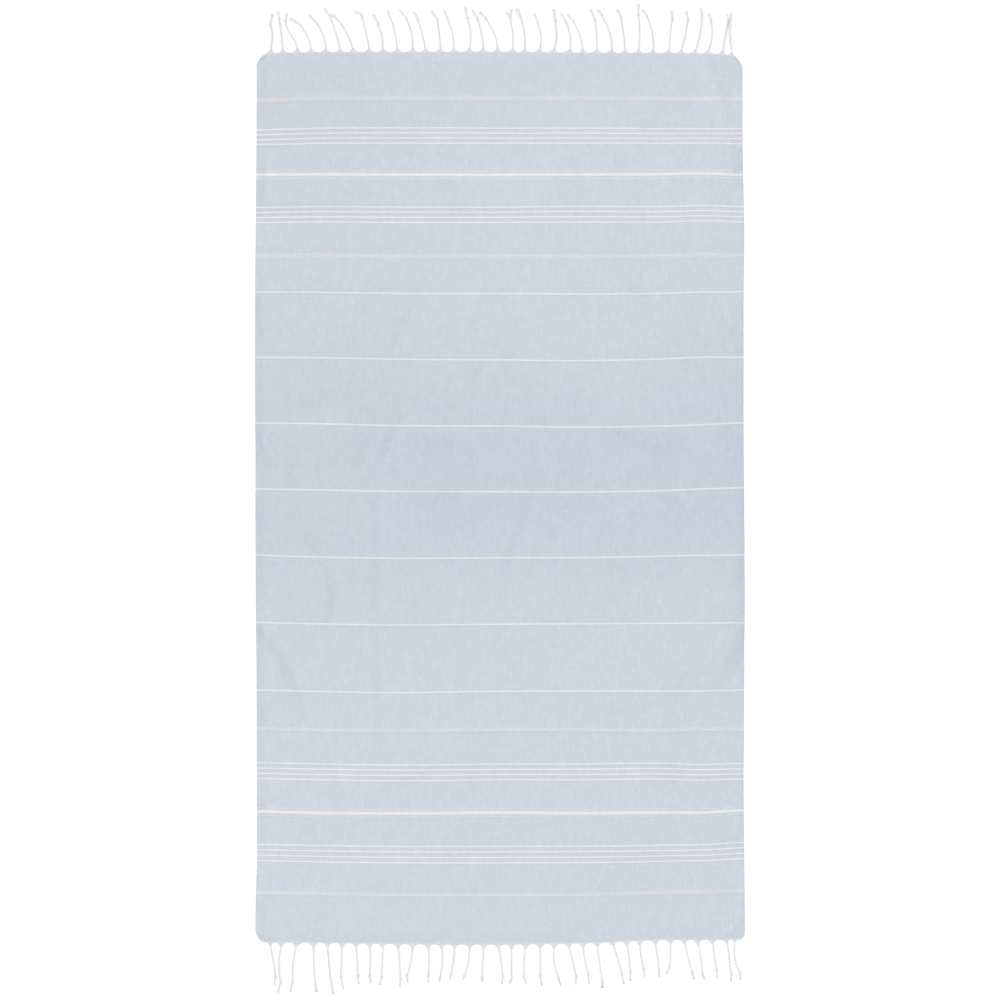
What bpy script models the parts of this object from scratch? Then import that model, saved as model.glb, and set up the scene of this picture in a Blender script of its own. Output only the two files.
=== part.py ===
"""Hammam towel laid out flat on the surface z = 0, at its real size in metres, +Z up.

One woven cotton cloth, hemmed along its two long sides and crossed by weft stripes that
stand as low ribs. At each end the warp is twisted into a fringe of cords, each tied in a
knot above a short loose tail. The length runs along Y and the origin is under the middle.
"""

import math
from bisect import bisect_right
from collections import namedtuple

import bmesh
import bpy

MM = 0.001

# Cloth
HALF_WIDTH = 0.500
TOP_END = 0.9178
BOTTOM_END = -0.9099
CLOTH_THICKNESS = 0.0015
HEM_WIDTH = 0.016
HEM_RISE = 0.0004
HEM_STEP = 0.0015
CORNER_REACH = 0.090
CORNER_TURNS = 5
WIDEST_ROW_GAP = 0.055
INNER_COLUMNS = (0.10, 0.30, 0.50, 0.67, 0.82, 0.92)

# Fringe
PIECE_GAP = 0.0003
STRIP_WIDTH = 0.003
STRIP_THICKNESS = 0.0015
FAN_WIDTH = 0.016
FAN_SHARE_OF_GAP = 0.42
FAN_DEPTH = 0.0065
FAN_WAIST = (0.0062, 0.0020)
CORD_START = 0.0110
CORD = (0.0030, 0.0026)
KNOT_HALF_LENGTH = 0.0042
KNOT_SHOULDER = 0.0016
KNOT = (0.0060, 0.0042)
TAIL_THROAT = (0.0028, 0.0024)
TAIL_MIDDLE = (0.0032, 0.0022)
TAIL_TIP = (0.0044, 0.0016)
TOP_SHARE = 0.62
CORD_STEPS = (0.30, 0.50, 0.70)
PLAIN_SIDES = (0, 2, 3)  # sides of the strip's section that carry no tassels

# Where each weft row sits once the towel is laid by hand: its height along the middle of the
# cloth, and how far it has drifted up from there at seven places across, all in mm.
Weft = namedtuple("Weft", "name along left_rim left left_mid right_mid right right_far right_rim")
WEFT_PLACES = (-0.98, -0.74, -0.41, 0.0, 0.33, 0.66, 0.82, 0.98)
WEFTS = (
    Weft("top end", 917.8, -2.5, -0.5, 0.0, -1.4, -2.5, -2.9, -6.3),
    Weft("first double", 822.1, -4.3, 0.6, 1.1, 1.0, -0.2, -1.0, -1.0),
    Weft("first fine group", 761.3, -3.7, -0.3, 0.5, 0.0, -0.6, -0.8, -1.2),
    Weft("first bold", 664.9, 0.4, 0.9, 0.4, 0.6, 1.4, 3.1, 0.4),
    Weft("second fine group", 600.0, -0.6, 1.0, 0.2, 1.6, 1.2, 3.3, 1.4),
    Weft("second double", 499.9, 0.6, 1.9, -0.8, -0.8, 0.2, 2.5, 1.4),
    Weft("first single", 422.1, 3.3, 2.8, 0.4, -0.8, 0.4, 3.1, 3.3),
    Weft("second single", 286.8, 5.1, 4.3, 1.3, -1.8, 1.8, 5.1, 4.9),
    Weft("third single", 151.3, 6.1, 4.7, 0.9, -2.0, 0.0, 2.5, 6.6),
    Weft("fourth single", 16.8, 5.7, 3.8, 0.7, -0.6, 2.3, 5.5, 8.2),
    Weft("fifth single", -118.3, 4.9, 1.6, -1.1, 0.2, 3.3, 4.9, 5.7),
    Weft("sixth single", -253.8, 3.5, 0.8, -1.8, 1.0, 1.8, 2.5, 2.9),
    Weft("seventh single", -391.2, 2.5, -0.4, -2.6, 0.8, 0.8, 0.8, 2.0),
    Weft("third double", -468.8, 1.6, -1.0, -2.4, -0.6, -1.6, 0.4, 0.4),
    Weft("third fine group", -540.6, 2.7, 0.4, -1.8, 0.2, 2.0, -0.6, 1.2),
    Weft("second bold", -639.7, 2.3, -0.7, -1.7, -1.2, 0.2, -0.2, 4.5),
    Weft("fourth fine group", -725.9, 4.3, 2.2, -0.2, 0.6, 2.7, 3.9, 8.2),
    Weft("fourth double", -808.6, 5.5, 3.1, 0.4, 0.6, 5.1, 6.6, 8.4),
    Weft("bottom end", -909.9, 3.8, 3.5, 1.0, 2.3, 9.2, 9.2, 10.0),
)

# How far each long side lies outside the half width, in mm, down the cloth.
Side = namedtuple("Side", "along left right")
SIDES = (
    Side(887, -3.4, -4.6),
    Side(736, -2.6, -3.6),
    Side(572, -0.1, -1.4),
    Side(408, 1.5, -0.9),
    Side(163, 1.3, -0.7),
    Side(-1, 0.1, 0.1),
    Side(-165, -0.3, 1.3),
    Side(-329, -1.6, -0.1),
    Side(-492, -1.8, -0.5),
    Side(-656, -3.0, -0.5),
    Side(-738, -3.6, 0.1),
    Side(-861, 0.1, 1.1),
)

# How far each drawn-in corner cuts in from the long side and along it, in mm, and how full
# its round is: 1 is a straight cut, 2 a quarter circle.
Corner = namedtuple("Corner", "cut_in cut_along fullness")
CORNERS = {
    ("top", "left"): Corner(23, 27, 1.35),
    ("top", "right"): Corner(18, 28, 1.25),
    ("bottom", "left"): Corner(23, 28, 1.65),
    ("bottom", "right"): Corner(15, 24, 1.7),
}

# Section of a raised line of weft: shares of its width from the middle, and of its rise.
RibPoint = namedtuple("RibPoint", "aside height")
ROUND_RIB = (RibPoint(-0.5, 0.0), RibPoint(0.0, 1.0), RibPoint(0.5, 0.0))
FLAT_RIB = (RibPoint(-0.5, 0.0), RibPoint(-0.3, 1.0), RibPoint(0.3, 1.0), RibPoint(0.5, 0.0))

# Woven stripes as evenly spaced lines of thick weft: middle of the group along the cloth,
# number of lines, pitch, width of a line, its rise and its section, in mm.
Stripe = namedtuple("Stripe", "name along lines pitch width rise section")
STRIPES = (
    Stripe("first double", 822.1, 2, 4.6, 3.0, 0.4, ROUND_RIB),
    Stripe("first fine group", 745.8, 4, 10.3, 3.0, 0.5, ROUND_RIB),
    Stripe("first bold", 664.9, 1, 0.0, 7.0, 0.6, FLAT_RIB),
    Stripe("second fine group", 584.3, 4, 10.4, 3.0, 0.5, ROUND_RIB),
    Stripe("second double", 499.9, 2, 4.6, 3.0, 0.4, ROUND_RIB),
    Stripe("singles", 15.6, 7, 135.5, 3.0, 0.5, ROUND_RIB),
    Stripe("third double", -468.8, 2, 4.6, 3.0, 0.4, ROUND_RIB),
    Stripe("third fine group", -556.8, 4, 10.7, 3.0, 0.5, ROUND_RIB),
    Stripe("second bold", -639.7, 1, 0.0, 7.0, 0.6, FLAT_RIB),
    Stripe("fourth fine group", -725.9, 4, 11.6, 3.0, 0.5, ROUND_RIB),
    Stripe("fourth double", -808.6, 2, 4.6, 3.0, 0.4, ROUND_RIB),
)

# Each tassel of a fringe, in mm: root across the cloth, lean and drop of the knot from the
# root, sideways bow of the cord half way, and sideways kick and length of the tail.
Tassel = namedtuple("Tassel", "root lean drop bow kick tail")
TOP_FRINGE = (
    Tassel(-469, -1, 56, 3, 5, 18),
    Tassel(-445, -8, 69, 1, -1, 12),
    Tassel(-414, -25, 67, 1, 4, 14),
    Tassel(-387, -23, 56, 5, -18, 14),
    Tassel(-357, -18, 58, 5, -13, 16),
    Tassel(-327, -23, 74, 2, -9, 13),
    Tassel(-300, -25, 56, 3, -18, 16),
    Tassel(-267, -18, 77, 1, -11, 5),
    Tassel(-241, -10, 57, 4, -8, 18),
    Tassel(-210, -11, 58, 1, -9, 24),
    Tassel(-179, -13, 69, 5, -13, 16),
    Tassel(-152, -17, 66, 1, -8, 14),
    Tassel(-122, -8, 68, 1, -10, 13),
    Tassel(-95, -14, 69, 4, -5, 14),
    Tassel(-62, -5, 69, 5, -4, 21),
    Tassel(-35, -12, 67, 3, -10, 18),
    Tassel(-5, -25, 68, 6, -11, 13),
    Tassel(26, -5, 67, 3, -3, 17),
    Tassel(51, -10, 75, 4, -6, 12),
    Tassel(81, -5, 62, 6, -5, 16),
    Tassel(111, 2, 64, 4, -2, 22),
    Tassel(142, -8, 62, 5, -8, 16),
    Tassel(169, -20, 64, 4, -10, 14),
    Tassel(198, -4, 67, 2, -7, 19),
    Tassel(228, -21, 77, 7, -6, 9),
    Tassel(255, -9, 73, 2, -6, 15),
    Tassel(282, 0, 79, 3, 1, 20),
    Tassel(313, -14, 77, 5, -7, 11),
    Tassel(346, 6, 68, -1, 0, 17),
    Tassel(371, 14, 68, 2, -3, 16),
    Tassel(400, 14, 79, 4, -3, 12),
    Tassel(425, 7, 68, 6, -4, 13),
    Tassel(456, 11, 69, 0, -1, 11),
    Tassel(476, -4, 59, -2, 3, 24),
)
BOTTOM_FRINGE = (
    Tassel(-473, 12, 70, 2, -1, 19),
    Tassel(-448, -2, 81, -4, -5, 23),
    Tassel(-417, -8, 79, -3, -5, 23),
    Tassel(-382, 4, 87, -2, 2, 15),
    Tassel(-354, 8, 84, -1, 5, 24),
    Tassel(-324, -3, 68, 0, 6, 27),
    Tassel(-295, 3, 65, 0, 3, 20),
    Tassel(-267, -1, 66, 1, 5, 16),
    Tassel(-240, -3, 68, 1, -3, 17),
    Tassel(-210, 5, 71, 1, 0, 18),
    Tassel(-179, -12, 66, 3, 4, 15),
    Tassel(-147, 0, 62, 2, 1, 18),
    Tassel(-121, -3, 66, 4, 0, 12),
    Tassel(-94, -8, 61, 2, -1, 12),
    Tassel(-63, -11, 64, 3, -3, 8),
    Tassel(-34, -4, 66, 0, 2, 11),
    Tassel(-4, 8, 64, 1, 0, 18),
    Tassel(24, 0, 66, 0, -2, 15),
    Tassel(51, -3, 66, -2, 6, 15),
    Tassel(82, 0, 63, 0, 4, 22),
    Tassel(112, 7, 68, -5, 7, 18),
    Tassel(139, 16, 66, 0, -1, 18),
    Tassel(169, 10, 61, -2, 4, 22),
    Tassel(200, 9, 75, -1, 1, 19),
    Tassel(229, 19, 64, 1, 6, 23),
    Tassel(259, 7, 62, 1, 1, 20),
    Tassel(286, 8, 56, -1, 4, 19),
    Tassel(318, 8, 60, 0, 1, 16),
    Tassel(349, -2, 56, 1, -7, 15),
    Tassel(378, 14, 66, 0, 6, 15),
    Tassel(405, 9, 70, 1, 5, 11),
    Tassel(436, 7, 61, -1, 3, 20),
    Tassel(465, 8, 70, 0, 1, 16),
    Tassel(482, 9, 68, -6, 2, 15),
)

CLOTH_COLOUR = (0.600, 0.645, 0.715)
CLOTH_ROUGHNESS = 0.90
FRINGE_COLOUR = (0.860, 0.860, 0.840)
FRINGE_ROUGHNESS = 0.85


def smooth_through(keys, values, at):
    """Value at a place between keyed values, on a curve that runs smoothly through them."""
    at = min(max(at, keys[0]), keys[-1])
    low = min(bisect_right(keys, at) - 1, len(keys) - 2)

    def slope(i):
        before = max(i - 1, 0)
        after = min(i + 1, len(keys) - 1)
        return (values[after] - values[before]) / (keys[after] - keys[before])

    span = keys[low + 1] - keys[low]
    t = (at - keys[low]) / span
    start_share = 2 * t**3 - 3 * t**2 + 1
    start_pull = (t**3 - 2 * t**2 + t) * span * slope(low)
    end_pull = (t**3 - t**2) * span * slope(low + 1)
    return values[low] * start_share + values[low + 1] * (1 - start_share) + start_pull + end_pull


def weft_drift(across, along):
    """How far a point of the cloth has drifted up from the height of its weft row."""
    upward = sorted(WEFTS, key=lambda weft: weft.along)
    heights = [weft.along * MM for weft in upward]
    drifts = []
    for weft in upward:
        shifts = (weft.left_rim, weft.left, weft.left_mid, 0.0)
        shifts += (weft.right_mid, weft.right, weft.right_far, weft.right_rim)
        drifts.append(smooth_through(WEFT_PLACES, shifts, across) * MM)
    return smooth_through(heights, drifts, along)


def side_reach(side, along):
    """Distance from the middle line to a long side, before its corners are drawn in."""
    upward = sorted(SIDES)
    heights = [row.along * MM for row in upward]
    extra = [getattr(row, side) * MM for row in upward]
    return HALF_WIDTH + smooth_through(heights, extra, along)


def corner_inset(side, along):
    """How far a drawn-in corner has pulled a long side towards the middle line."""
    end = "top" if along > 0 else "bottom"
    corner = CORNERS[end, side]
    to_end = TOP_END - along if end == "top" else along - BOTTOM_END
    climb = max(0.0, 1 - to_end / (corner.cut_along * MM))
    left_over = max(0.0, 1 - climb**corner.fullness) ** (1 / corner.fullness)
    return corner.cut_in * MM * (1 - left_over)


def cloth_place(across, along):
    """X and Y of a point of the cloth: across runs from -1 to 1, along is its weft row."""
    x = across * side_reach("left" if across < 0 else "right", along)
    for side, sign in (("left", -1), ("right", 1)):
        from_side = side_reach(side, along) - sign * x
        closeness = max(0.0, 1 - from_side / CORNER_REACH)
        x -= sign * corner_inset(side, along) * closeness**2
    return x, along + weft_drift(across, along)


def stripe_ribs():
    """Every raised line of weft as (row, rise) pairs across its width."""
    ribs = []
    for stripe in STRIPES:
        for line in range(stripe.lines):
            middle = stripe.along + stripe.pitch * (line - (stripe.lines - 1) / 2)
            for point in stripe.section:
                row = middle + stripe.width * point.aside
                ribs.append((row * MM, stripe.rise * point.height * MM))
    return ribs


def cloth_rows():
    """Rows of points down the cloth with their rib rise: corners, ribs and evening rows."""
    rows = stripe_ribs()
    for end, sign in ((TOP_END, 1), (BOTTOM_END, -1)):
        longest_cut = max(corner.cut_along for corner in CORNERS.values()) * MM
        for turn in range(CORNER_TURNS + 1):
            climb = math.sin(turn / CORNER_TURNS * math.pi / 2)
            rows.append((end - sign * longest_cut * (1 - climb), 0.0))
    rows.sort()
    filled = [rows[0]]
    for row in rows[1:]:
        gap = row[0] - filled[-1][0]
        extra = int(gap / WIDEST_ROW_GAP)
        start = filled[-1][0]
        filled.extend((start + gap * k / (extra + 1), 0.0) for k in range(1, extra + 1))
        filled.append(row)
    return filled


def cloth_columns():
    """Columns of points across the cloth with their hem rise, from left to right."""
    hem_top = 1 - HEM_WIDTH / HALF_WIDTH
    hem_foot = 1 - (HEM_WIDTH + HEM_STEP) / HALF_WIDTH
    right = [(share, 0.0) for share in INNER_COLUMNS] + [(hem_foot, 0.0)]
    right += [(hem_top, HEM_RISE), (1.0, HEM_RISE)]
    return [(-share, rise) for share, rise in reversed(right)] + right


def add_object(name, mesh_data, colour, roughness):
    """Close a mesh, give it its own material and place it in the scene."""
    bmesh.ops.recalc_face_normals(mesh_data, faces=mesh_data.faces)
    mesh = bpy.data.meshes.new(name)
    mesh_data.to_mesh(mesh)
    mesh_data.free()
    material = bpy.data.materials.new(name)
    material.use_nodes = True
    shader = material.node_tree.nodes["Principled BSDF"]
    shader.inputs["Base Color"].default_value = (*colour, 1.0)
    shader.inputs["Roughness"].default_value = roughness
    shader.inputs["Metallic"].default_value = 0.0
    mesh.materials.append(material)
    piece = bpy.data.objects.new(name, mesh)
    bpy.context.scene.collection.objects.link(piece)


def build_cloth():
    """The woven cloth: ribbed on top, flat underneath, with its outline as laid."""
    rows = cloth_rows()
    columns = cloth_columns()
    cloth = bmesh.new()
    top = []
    for along, rib_rise in rows:
        line = []
        for across, hem_rise in columns:
            x, y = cloth_place(across, along)
            line.append(cloth.verts.new((x, y, CLOTH_THICKNESS + rib_rise + hem_rise)))
        top.append(line)
    last_row = len(rows) - 1
    last_column = len(columns) - 1
    for r in range(last_row):
        for c in range(last_column):
            cloth.faces.new((top[r][c], top[r][c + 1], top[r + 1][c + 1], top[r + 1][c]))

    rim = [(0, c) for c in range(last_column)]
    rim += [(r, last_column) for r in range(last_row)]
    rim += [(last_row, c) for c in range(last_column, 0, -1)]
    rim += [(r, 0) for r in range(last_row, 0, -1)]
    under = {place: cloth.verts.new((*top[place[0]][place[1]].co.xy, 0.0)) for place in rim}
    for here, there in zip(rim, rim[1:] + rim[:1]):
        wall = (top[here[0]][here[1]], under[here], under[there], top[there[0]][there[1]])
        cloth.faces.new(wall)
    for r in range(1, last_row - 1):
        cloth.faces.new((under[r, 0], under[r, last_column], under[r + 1, last_column], under[r + 1, 0]))
    for end, inner in ((0, 1), (last_row, last_row - 1)):
        end_line = [under[end, c] for c in range(last_column + 1)]
        cloth.faces.new(end_line + [under[inner, last_column], under[inner, 0]])
    add_object("cloth", cloth, CLOTH_COLOUR, CLOTH_ROUGHNESS)


def end_edge(end):
    """The cloth's end edge as points from left to right."""
    along = TOP_END if end == "top" else BOTTOM_END
    return [cloth_place(across, along) for across, _ in cloth_columns()]


def height_of_edge(edge, x):
    """Y of an end edge at a place across the cloth."""
    low = min(max(bisect_right([p[0] for p in edge], x) - 1, 0), len(edge) - 2)
    (x0, y0), (x1, y1) = edge[low], edge[low + 1]
    return y0 + (y1 - y0) * (x - x0) / (x1 - x0)


def cord_place(tassel, edge, outward, down):
    """Point of a tassel's cord at a distance down from the cloth's edge to its knot."""
    drop = tassel.drop * MM
    share = down / drop
    sideways = tassel.lean * share + tassel.bow * math.sin(math.pi * share)
    root = tassel.root * MM
    return root + sideways * MM, height_of_edge(edge, root) + outward * down


def tassel_sections(tassel, edge, outward, fan):
    """Sections of a tassel from its fan to its tip: point, width and height of each."""
    drop = tassel.drop * MM
    tail = tassel.tail * MM
    knot_x, knot_y = cord_place(tassel, edge, outward, drop)
    kick = tassel.kick * MM

    def on_cord(down, size):
        return cord_place(tassel, edge, outward, down), size

    def on_tail(share, size):
        return (knot_x + kick * share, knot_y + outward * tail * share), size

    wall = PIECE_GAP + STRIP_WIDTH
    sections = [on_cord(wall, (fan, STRIP_THICKNESS)), on_cord(FAN_DEPTH, FAN_WAIST)]
    sections.append(on_cord(CORD_START, CORD))
    sections += [on_cord(drop * share, CORD) for share in CORD_STEPS]
    sections.append(on_cord(drop - KNOT_HALF_LENGTH, CORD))
    sections.append(on_cord(drop - KNOT_SHOULDER, KNOT))
    sections.append(on_tail(KNOT_SHOULDER / tail, KNOT))
    sections.append(on_tail(KNOT_HALF_LENGTH / tail, TAIL_THROAT))
    sections.append(on_tail((1 + KNOT_HALF_LENGTH / tail) / 2, TAIL_MIDDLE))
    sections.append(on_tail(1.0, TAIL_TIP))
    return sections


def section_ring(fringe, points, i, size):
    """Four corners of a flat-bottomed section across the tassel's own direction."""
    width, height = size
    x, y = points[i]
    before = points[max(i - 1, 0)]
    after = points[min(i + 1, len(points) - 1)]
    run = math.dist(before, after)
    side_x = (before[1] - after[1]) / run
    side_y = (after[0] - before[0]) / run
    corners = ((1, 0.0), (-1, 0.0), (-TOP_SHARE, height), (TOP_SHARE, height))
    half = width / 2
    return [fringe.verts.new((x + side_x * half * s, y + side_y * half * s, z)) for s, z in corners]


def join_rings(fringe, first, second):
    """Skin between two rings of four corners."""
    for k in range(4):
        j = (k + 1) % 4
        fringe.faces.new((first[k], first[j], second[j], second[k]))


def add_tassel(fringe, wall_ring, sections):
    """Grow one tassel out of the strip's wall and close its tip."""
    points = [point for point, _ in sections]
    ring = wall_ring
    for i in range(1, len(sections)):
        next_ring = section_ring(fringe, points, i, sections[i][1])
        join_rings(fringe, ring, next_ring)
        ring = next_ring
    fringe.faces.new(ring)


def fan_widths(tassels):
    """Width of each tassel's root, narrower where its neighbour is close."""
    widths = []
    for i, tassel in enumerate(tassels):
        others = tassels[max(i - 1, 0):i] + tassels[i + 1:i + 2]
        nearest = min(abs(other.root - tassel.root) for other in others) * MM
        widths.append(min(FAN_WIDTH, 2 * FAN_SHARE_OF_GAP * nearest))
    return widths


def build_fringe(name, end, tassels):
    """One fringe: a narrow strip just off the cloth's end, with its tassels grown from it."""
    outward = 1 if end == "top" else -1
    edge = end_edge(end)
    fringe = bmesh.new()
    fans = fan_widths(tassels)
    roots = [cord_place(t, edge, outward, PIECE_GAP + STRIP_WIDTH)[0] for t in tassels]
    first_x, last_x = edge[0][0], edge[-1][0]
    fan_spans = []
    for root, fan in zip(roots, fans):
        fan_spans.append((max(root - fan / 2, first_x), min(root + fan / 2, last_x)))
    plain = [x for x, _ in edge if not any(a <= x <= b for a, b in fan_spans)]
    stations = sorted(plain + [x for span in fan_spans for x in span])

    rings = []
    for x in stations:
        inner = height_of_edge(edge, x) + outward * PIECE_GAP
        outer = inner + outward * STRIP_WIDTH
        corners = ((inner, 0.0), (outer, 0.0), (outer, STRIP_THICKNESS), (inner, STRIP_THICKNESS))
        rings.append([fringe.verts.new((x, y, z)) for y, z in corners])
    fan_starts = {span[0]: i for i, span in enumerate(fan_spans)}
    for x, left, right in zip(stations, rings, rings[1:]):
        for k in PLAIN_SIDES:
            j = (k + 1) % 4
            fringe.faces.new((left[k], left[j], right[j], right[k]))
        if x not in fan_starts:
            fringe.faces.new((left[1], left[2], right[2], right[1]))
            continue
        i = fan_starts[x]
        wall_ring = [left[1], right[1], right[2], left[2]]
        if end == "bottom":
            wall_ring = [right[1], left[1], left[2], right[2]]
        add_tassel(fringe, wall_ring, tassel_sections(tassels[i], edge, outward, fans[i]))
    fringe.faces.new(rings[0])
    fringe.faces.new(rings[-1])
    add_object(name, fringe, FRINGE_COLOUR, FRINGE_ROUGHNESS)


def main():
    for leftover in list(bpy.data.objects):
        bpy.data.objects.remove(leftover, do_unlink=True)
    build_cloth()
    build_fringe("fringe_top", "top", TOP_FRINGE)
    build_fringe("fringe_bottom", "bottom", BOTTOM_FRINGE)


main()
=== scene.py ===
"""Hammam towel laid out flat: woven cloth with its hems and soft creases, and its two fringes.

Laid out as an add-on and run as a script. Every size is in metres in the frame's own axes:
+Y along the towel, +X across it, +Z up from the surface that it lies on.
"""

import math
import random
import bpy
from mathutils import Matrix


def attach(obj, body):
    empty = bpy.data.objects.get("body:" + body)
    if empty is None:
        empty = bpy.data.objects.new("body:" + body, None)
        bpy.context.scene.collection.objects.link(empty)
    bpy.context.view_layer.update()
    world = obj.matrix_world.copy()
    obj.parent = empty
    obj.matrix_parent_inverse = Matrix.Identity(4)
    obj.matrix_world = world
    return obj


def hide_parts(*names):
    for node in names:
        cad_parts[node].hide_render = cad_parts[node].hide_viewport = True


bl_info = {
    "name": "Hammam Towel",
    "version": (1, 0, 0),
    "blender": (4, 5, 0),
    "location": "3D View > Sidebar > Towel",
    "description": "Weaves a striped hammam towel and its knotted fringes around a fixed frame",
    "category": "Object",
}

from bisect import bisect_right
from collections import namedtuple
from functools import partial

import bpy
import numpy as np
from bpy.props import EnumProperty, FloatProperty, FloatVectorProperty, IntProperty, PointerProperty
from mathutils import Vector, noise

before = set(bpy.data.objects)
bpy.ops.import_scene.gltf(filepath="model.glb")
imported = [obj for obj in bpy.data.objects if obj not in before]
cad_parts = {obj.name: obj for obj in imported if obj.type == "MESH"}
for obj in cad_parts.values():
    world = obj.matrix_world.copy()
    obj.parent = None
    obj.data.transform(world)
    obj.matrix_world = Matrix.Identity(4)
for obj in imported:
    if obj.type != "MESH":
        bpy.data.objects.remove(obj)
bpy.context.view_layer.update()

MM = 0.001
BODY = "root"
CLOTH_PIECE = "woven_cloth"
FRINGE_PIECES = {"top": "fringe_top_yarn", "bottom": "fringe_bottom_yarn"}
FRINGE_NODES = {"top": "fringe_top", "bottom": "fringe_bottom"}
FLOOR = "floor"
UP = np.array((0.0, 0.0, 1.0))

# Outline of the cloth, as its solid has it.
HALF_WIDTH = 0.500
TOP_END = 0.9178
BOTTOM_END = -0.9099
CORNER_REACH = 0.090

# Where each weft row sits once the towel is laid by hand: its height along the middle of the
# cloth, and how far it has drifted up from there at seven places across, all in mm.
Weft = namedtuple("Weft", "name along left_rim left left_mid right_mid right right_far right_rim")
WEFT_PLACES = (-0.98, -0.74, -0.41, 0.0, 0.33, 0.66, 0.82, 0.98)
WEFTS = (
    Weft("top end", 917.8, -2.5, -0.5, 0.0, -1.4, -2.5, -2.9, -6.3),
    Weft("first double", 822.1, -4.3, 0.6, 1.1, 1.0, -0.2, -1.0, -1.0),
    Weft("first fine group", 761.3, -3.7, -0.3, 0.5, 0.0, -0.6, -0.8, -1.2),
    Weft("first bold", 664.9, 0.4, 0.9, 0.4, 0.6, 1.4, 3.1, 0.4),
    Weft("second fine group", 600.0, -0.6, 1.0, 0.2, 1.6, 1.2, 3.3, 1.4),
    Weft("second double", 499.9, 0.6, 1.9, -0.8, -0.8, 0.2, 2.5, 1.4),
    Weft("first single", 422.1, 3.3, 2.8, 0.4, -0.8, 0.4, 3.1, 3.3),
    Weft("second single", 286.8, 5.1, 4.3, 1.3, -1.8, 1.8, 5.1, 4.9),
    Weft("third single", 151.3, 6.1, 4.7, 0.9, -2.0, 0.0, 2.5, 6.6),
    Weft("fourth single", 16.8, 5.7, 3.8, 0.7, -0.6, 2.3, 5.5, 8.2),
    Weft("fifth single", -118.3, 4.9, 1.6, -1.1, 0.2, 3.3, 4.9, 5.7),
    Weft("sixth single", -253.8, 3.5, 0.8, -1.8, 1.0, 1.8, 2.5, 2.9),
    Weft("seventh single", -391.2, 2.5, -0.4, -2.6, 0.8, 0.8, 0.8, 2.0),
    Weft("third double", -468.8, 1.6, -1.0, -2.4, -0.6, -1.6, 0.4, 0.4),
    Weft("third fine group", -540.6, 2.7, 0.4, -1.8, 0.2, 2.0, -0.6, 1.2),
    Weft("second bold", -639.7, 2.3, -0.7, -1.7, -1.2, 0.2, -0.2, 4.5),
    Weft("fourth fine group", -725.9, 4.3, 2.2, -0.2, 0.6, 2.7, 3.9, 8.2),
    Weft("fourth double", -808.6, 5.5, 3.1, 0.4, 0.6, 5.1, 6.6, 8.4),
    Weft("bottom end", -909.9, 3.8, 3.5, 1.0, 2.3, 9.2, 9.2, 10.0),
)

# How far each long side lies outside the half width, in mm, down the cloth.
Side = namedtuple("Side", "along left right")
SIDES = (
    Side(887, -1.9, -4.9),
    Side(736, -1.4, -3.9),
    Side(572, -0.1, -1.3),
    Side(408, 1.4, -2.0),
    Side(163, 1.2, -2.0),
    Side(80, 0.4, -1.5),
    Side(-1, 0.5, -0.8),
    Side(-165, 0.2, 0.3),
    Side(-329, -1.4, -0.5),
    Side(-492, -1.8, -1.4),
    Side(-573, -2.0, -2.1),
    Side(-656, -2.1, -1.5),
    Side(-738, -2.8, -0.3),
    Side(-785, -1.0, 0.2),
    Side(-861, 0.8, 0.4),
)

# How far each drawn-in corner cuts in from the long side and along it, in mm, and how full
# its round is: 1 is a straight cut, 2 a quarter circle.
Corner = namedtuple("Corner", "cut_in cut_along fullness")
CORNERS = {
    ("top", "left"): Corner(23, 24, 1.5),
    ("top", "right"): Corner(18, 26, 1.25),
    ("bottom", "left"): Corner(21, 26, 1.85),
    ("bottom", "right"): Corner(12, 17, 2.0),
}

# Section of a raised line of weft: share of its width from the middle, whether the underside
# has the point too, as its colour needs, share of its rise, how much white and beige yarn is in
# the weft there and how much painted shade darkens it there, as the line's shadow at its foot.
# Level points beside a line keep its foot crisp.
RibPoint = namedtuple("RibPoint", "aside below height white beige shade", defaults=(0.0,) * 4)


def mirrored(*half):
    """A whole section from its lower half, whose last point is its middle."""
    return half + tuple(point._replace(aside=-point.aside) for point in reversed(half[:-1]))


ROUND_RIB = mirrored(
    RibPoint(-0.66, False),
    RibPoint(-0.50, True),
    RibPoint(-0.37, True, 0.65, 1.0),
    RibPoint(0.00, False, 1.0, 1.0),
)
# Painted shade at its feet, more at the upper one, which the light from the far end lights.
WARM_RIB = (
    RibPoint(-1.45, True),
    RibPoint(-0.55, True, 0.0, 0.0, 0.80, 0.05),
    RibPoint(-0.37, True, 0.65, 1.0),
    RibPoint(0.00, False, 1.0, 1.0),
    RibPoint(0.37, True, 0.65, 1.0),
    RibPoint(0.55, True, 0.0, 0.0, 0.75, 0.075),
    RibPoint(1.45, True),
)
BOLD_RIB = mirrored(
    RibPoint(-0.85, True),
    RibPoint(-0.76, False, 0.0, 0.0, 1.0, 0.022),
    RibPoint(-0.54, True, 0.0, 0.0, 1.0, 0.022),
    RibPoint(-0.43, True, 0.8, 1.0),
    RibPoint(-0.22, False, 1.0, 1.0),
    RibPoint(0.00, False, 0.85, 0.95),
)
DOUBLE_RIB = (
    RibPoint(-0.58, False),
    RibPoint(-0.52, True),
    RibPoint(-0.48, True, 0.5, 0.0, 0.9),
    RibPoint(-0.45, False, 0.8, 0.42, 0.6),
    RibPoint(-0.34, False, 0.8, 0.42, 0.6),
    RibPoint(-0.29, True, 0.3, 0.0, 0.75),
    RibPoint(-0.10, True, 0.3, 0.0, 0.75),
    RibPoint(-0.05, False, 1.0, 0.73, 0.20),
    RibPoint(0.06, False, 1.0, 0.73, 0.20),
    RibPoint(0.11, True, 0.4, 0.0, 1.0),
    RibPoint(0.44, True, 0.5, 0.0, 0.9, 0.02),
    RibPoint(0.50, True, 0.0, 0.0, 0.7, 0.05),
    RibPoint(0.80, True),
)
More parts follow.
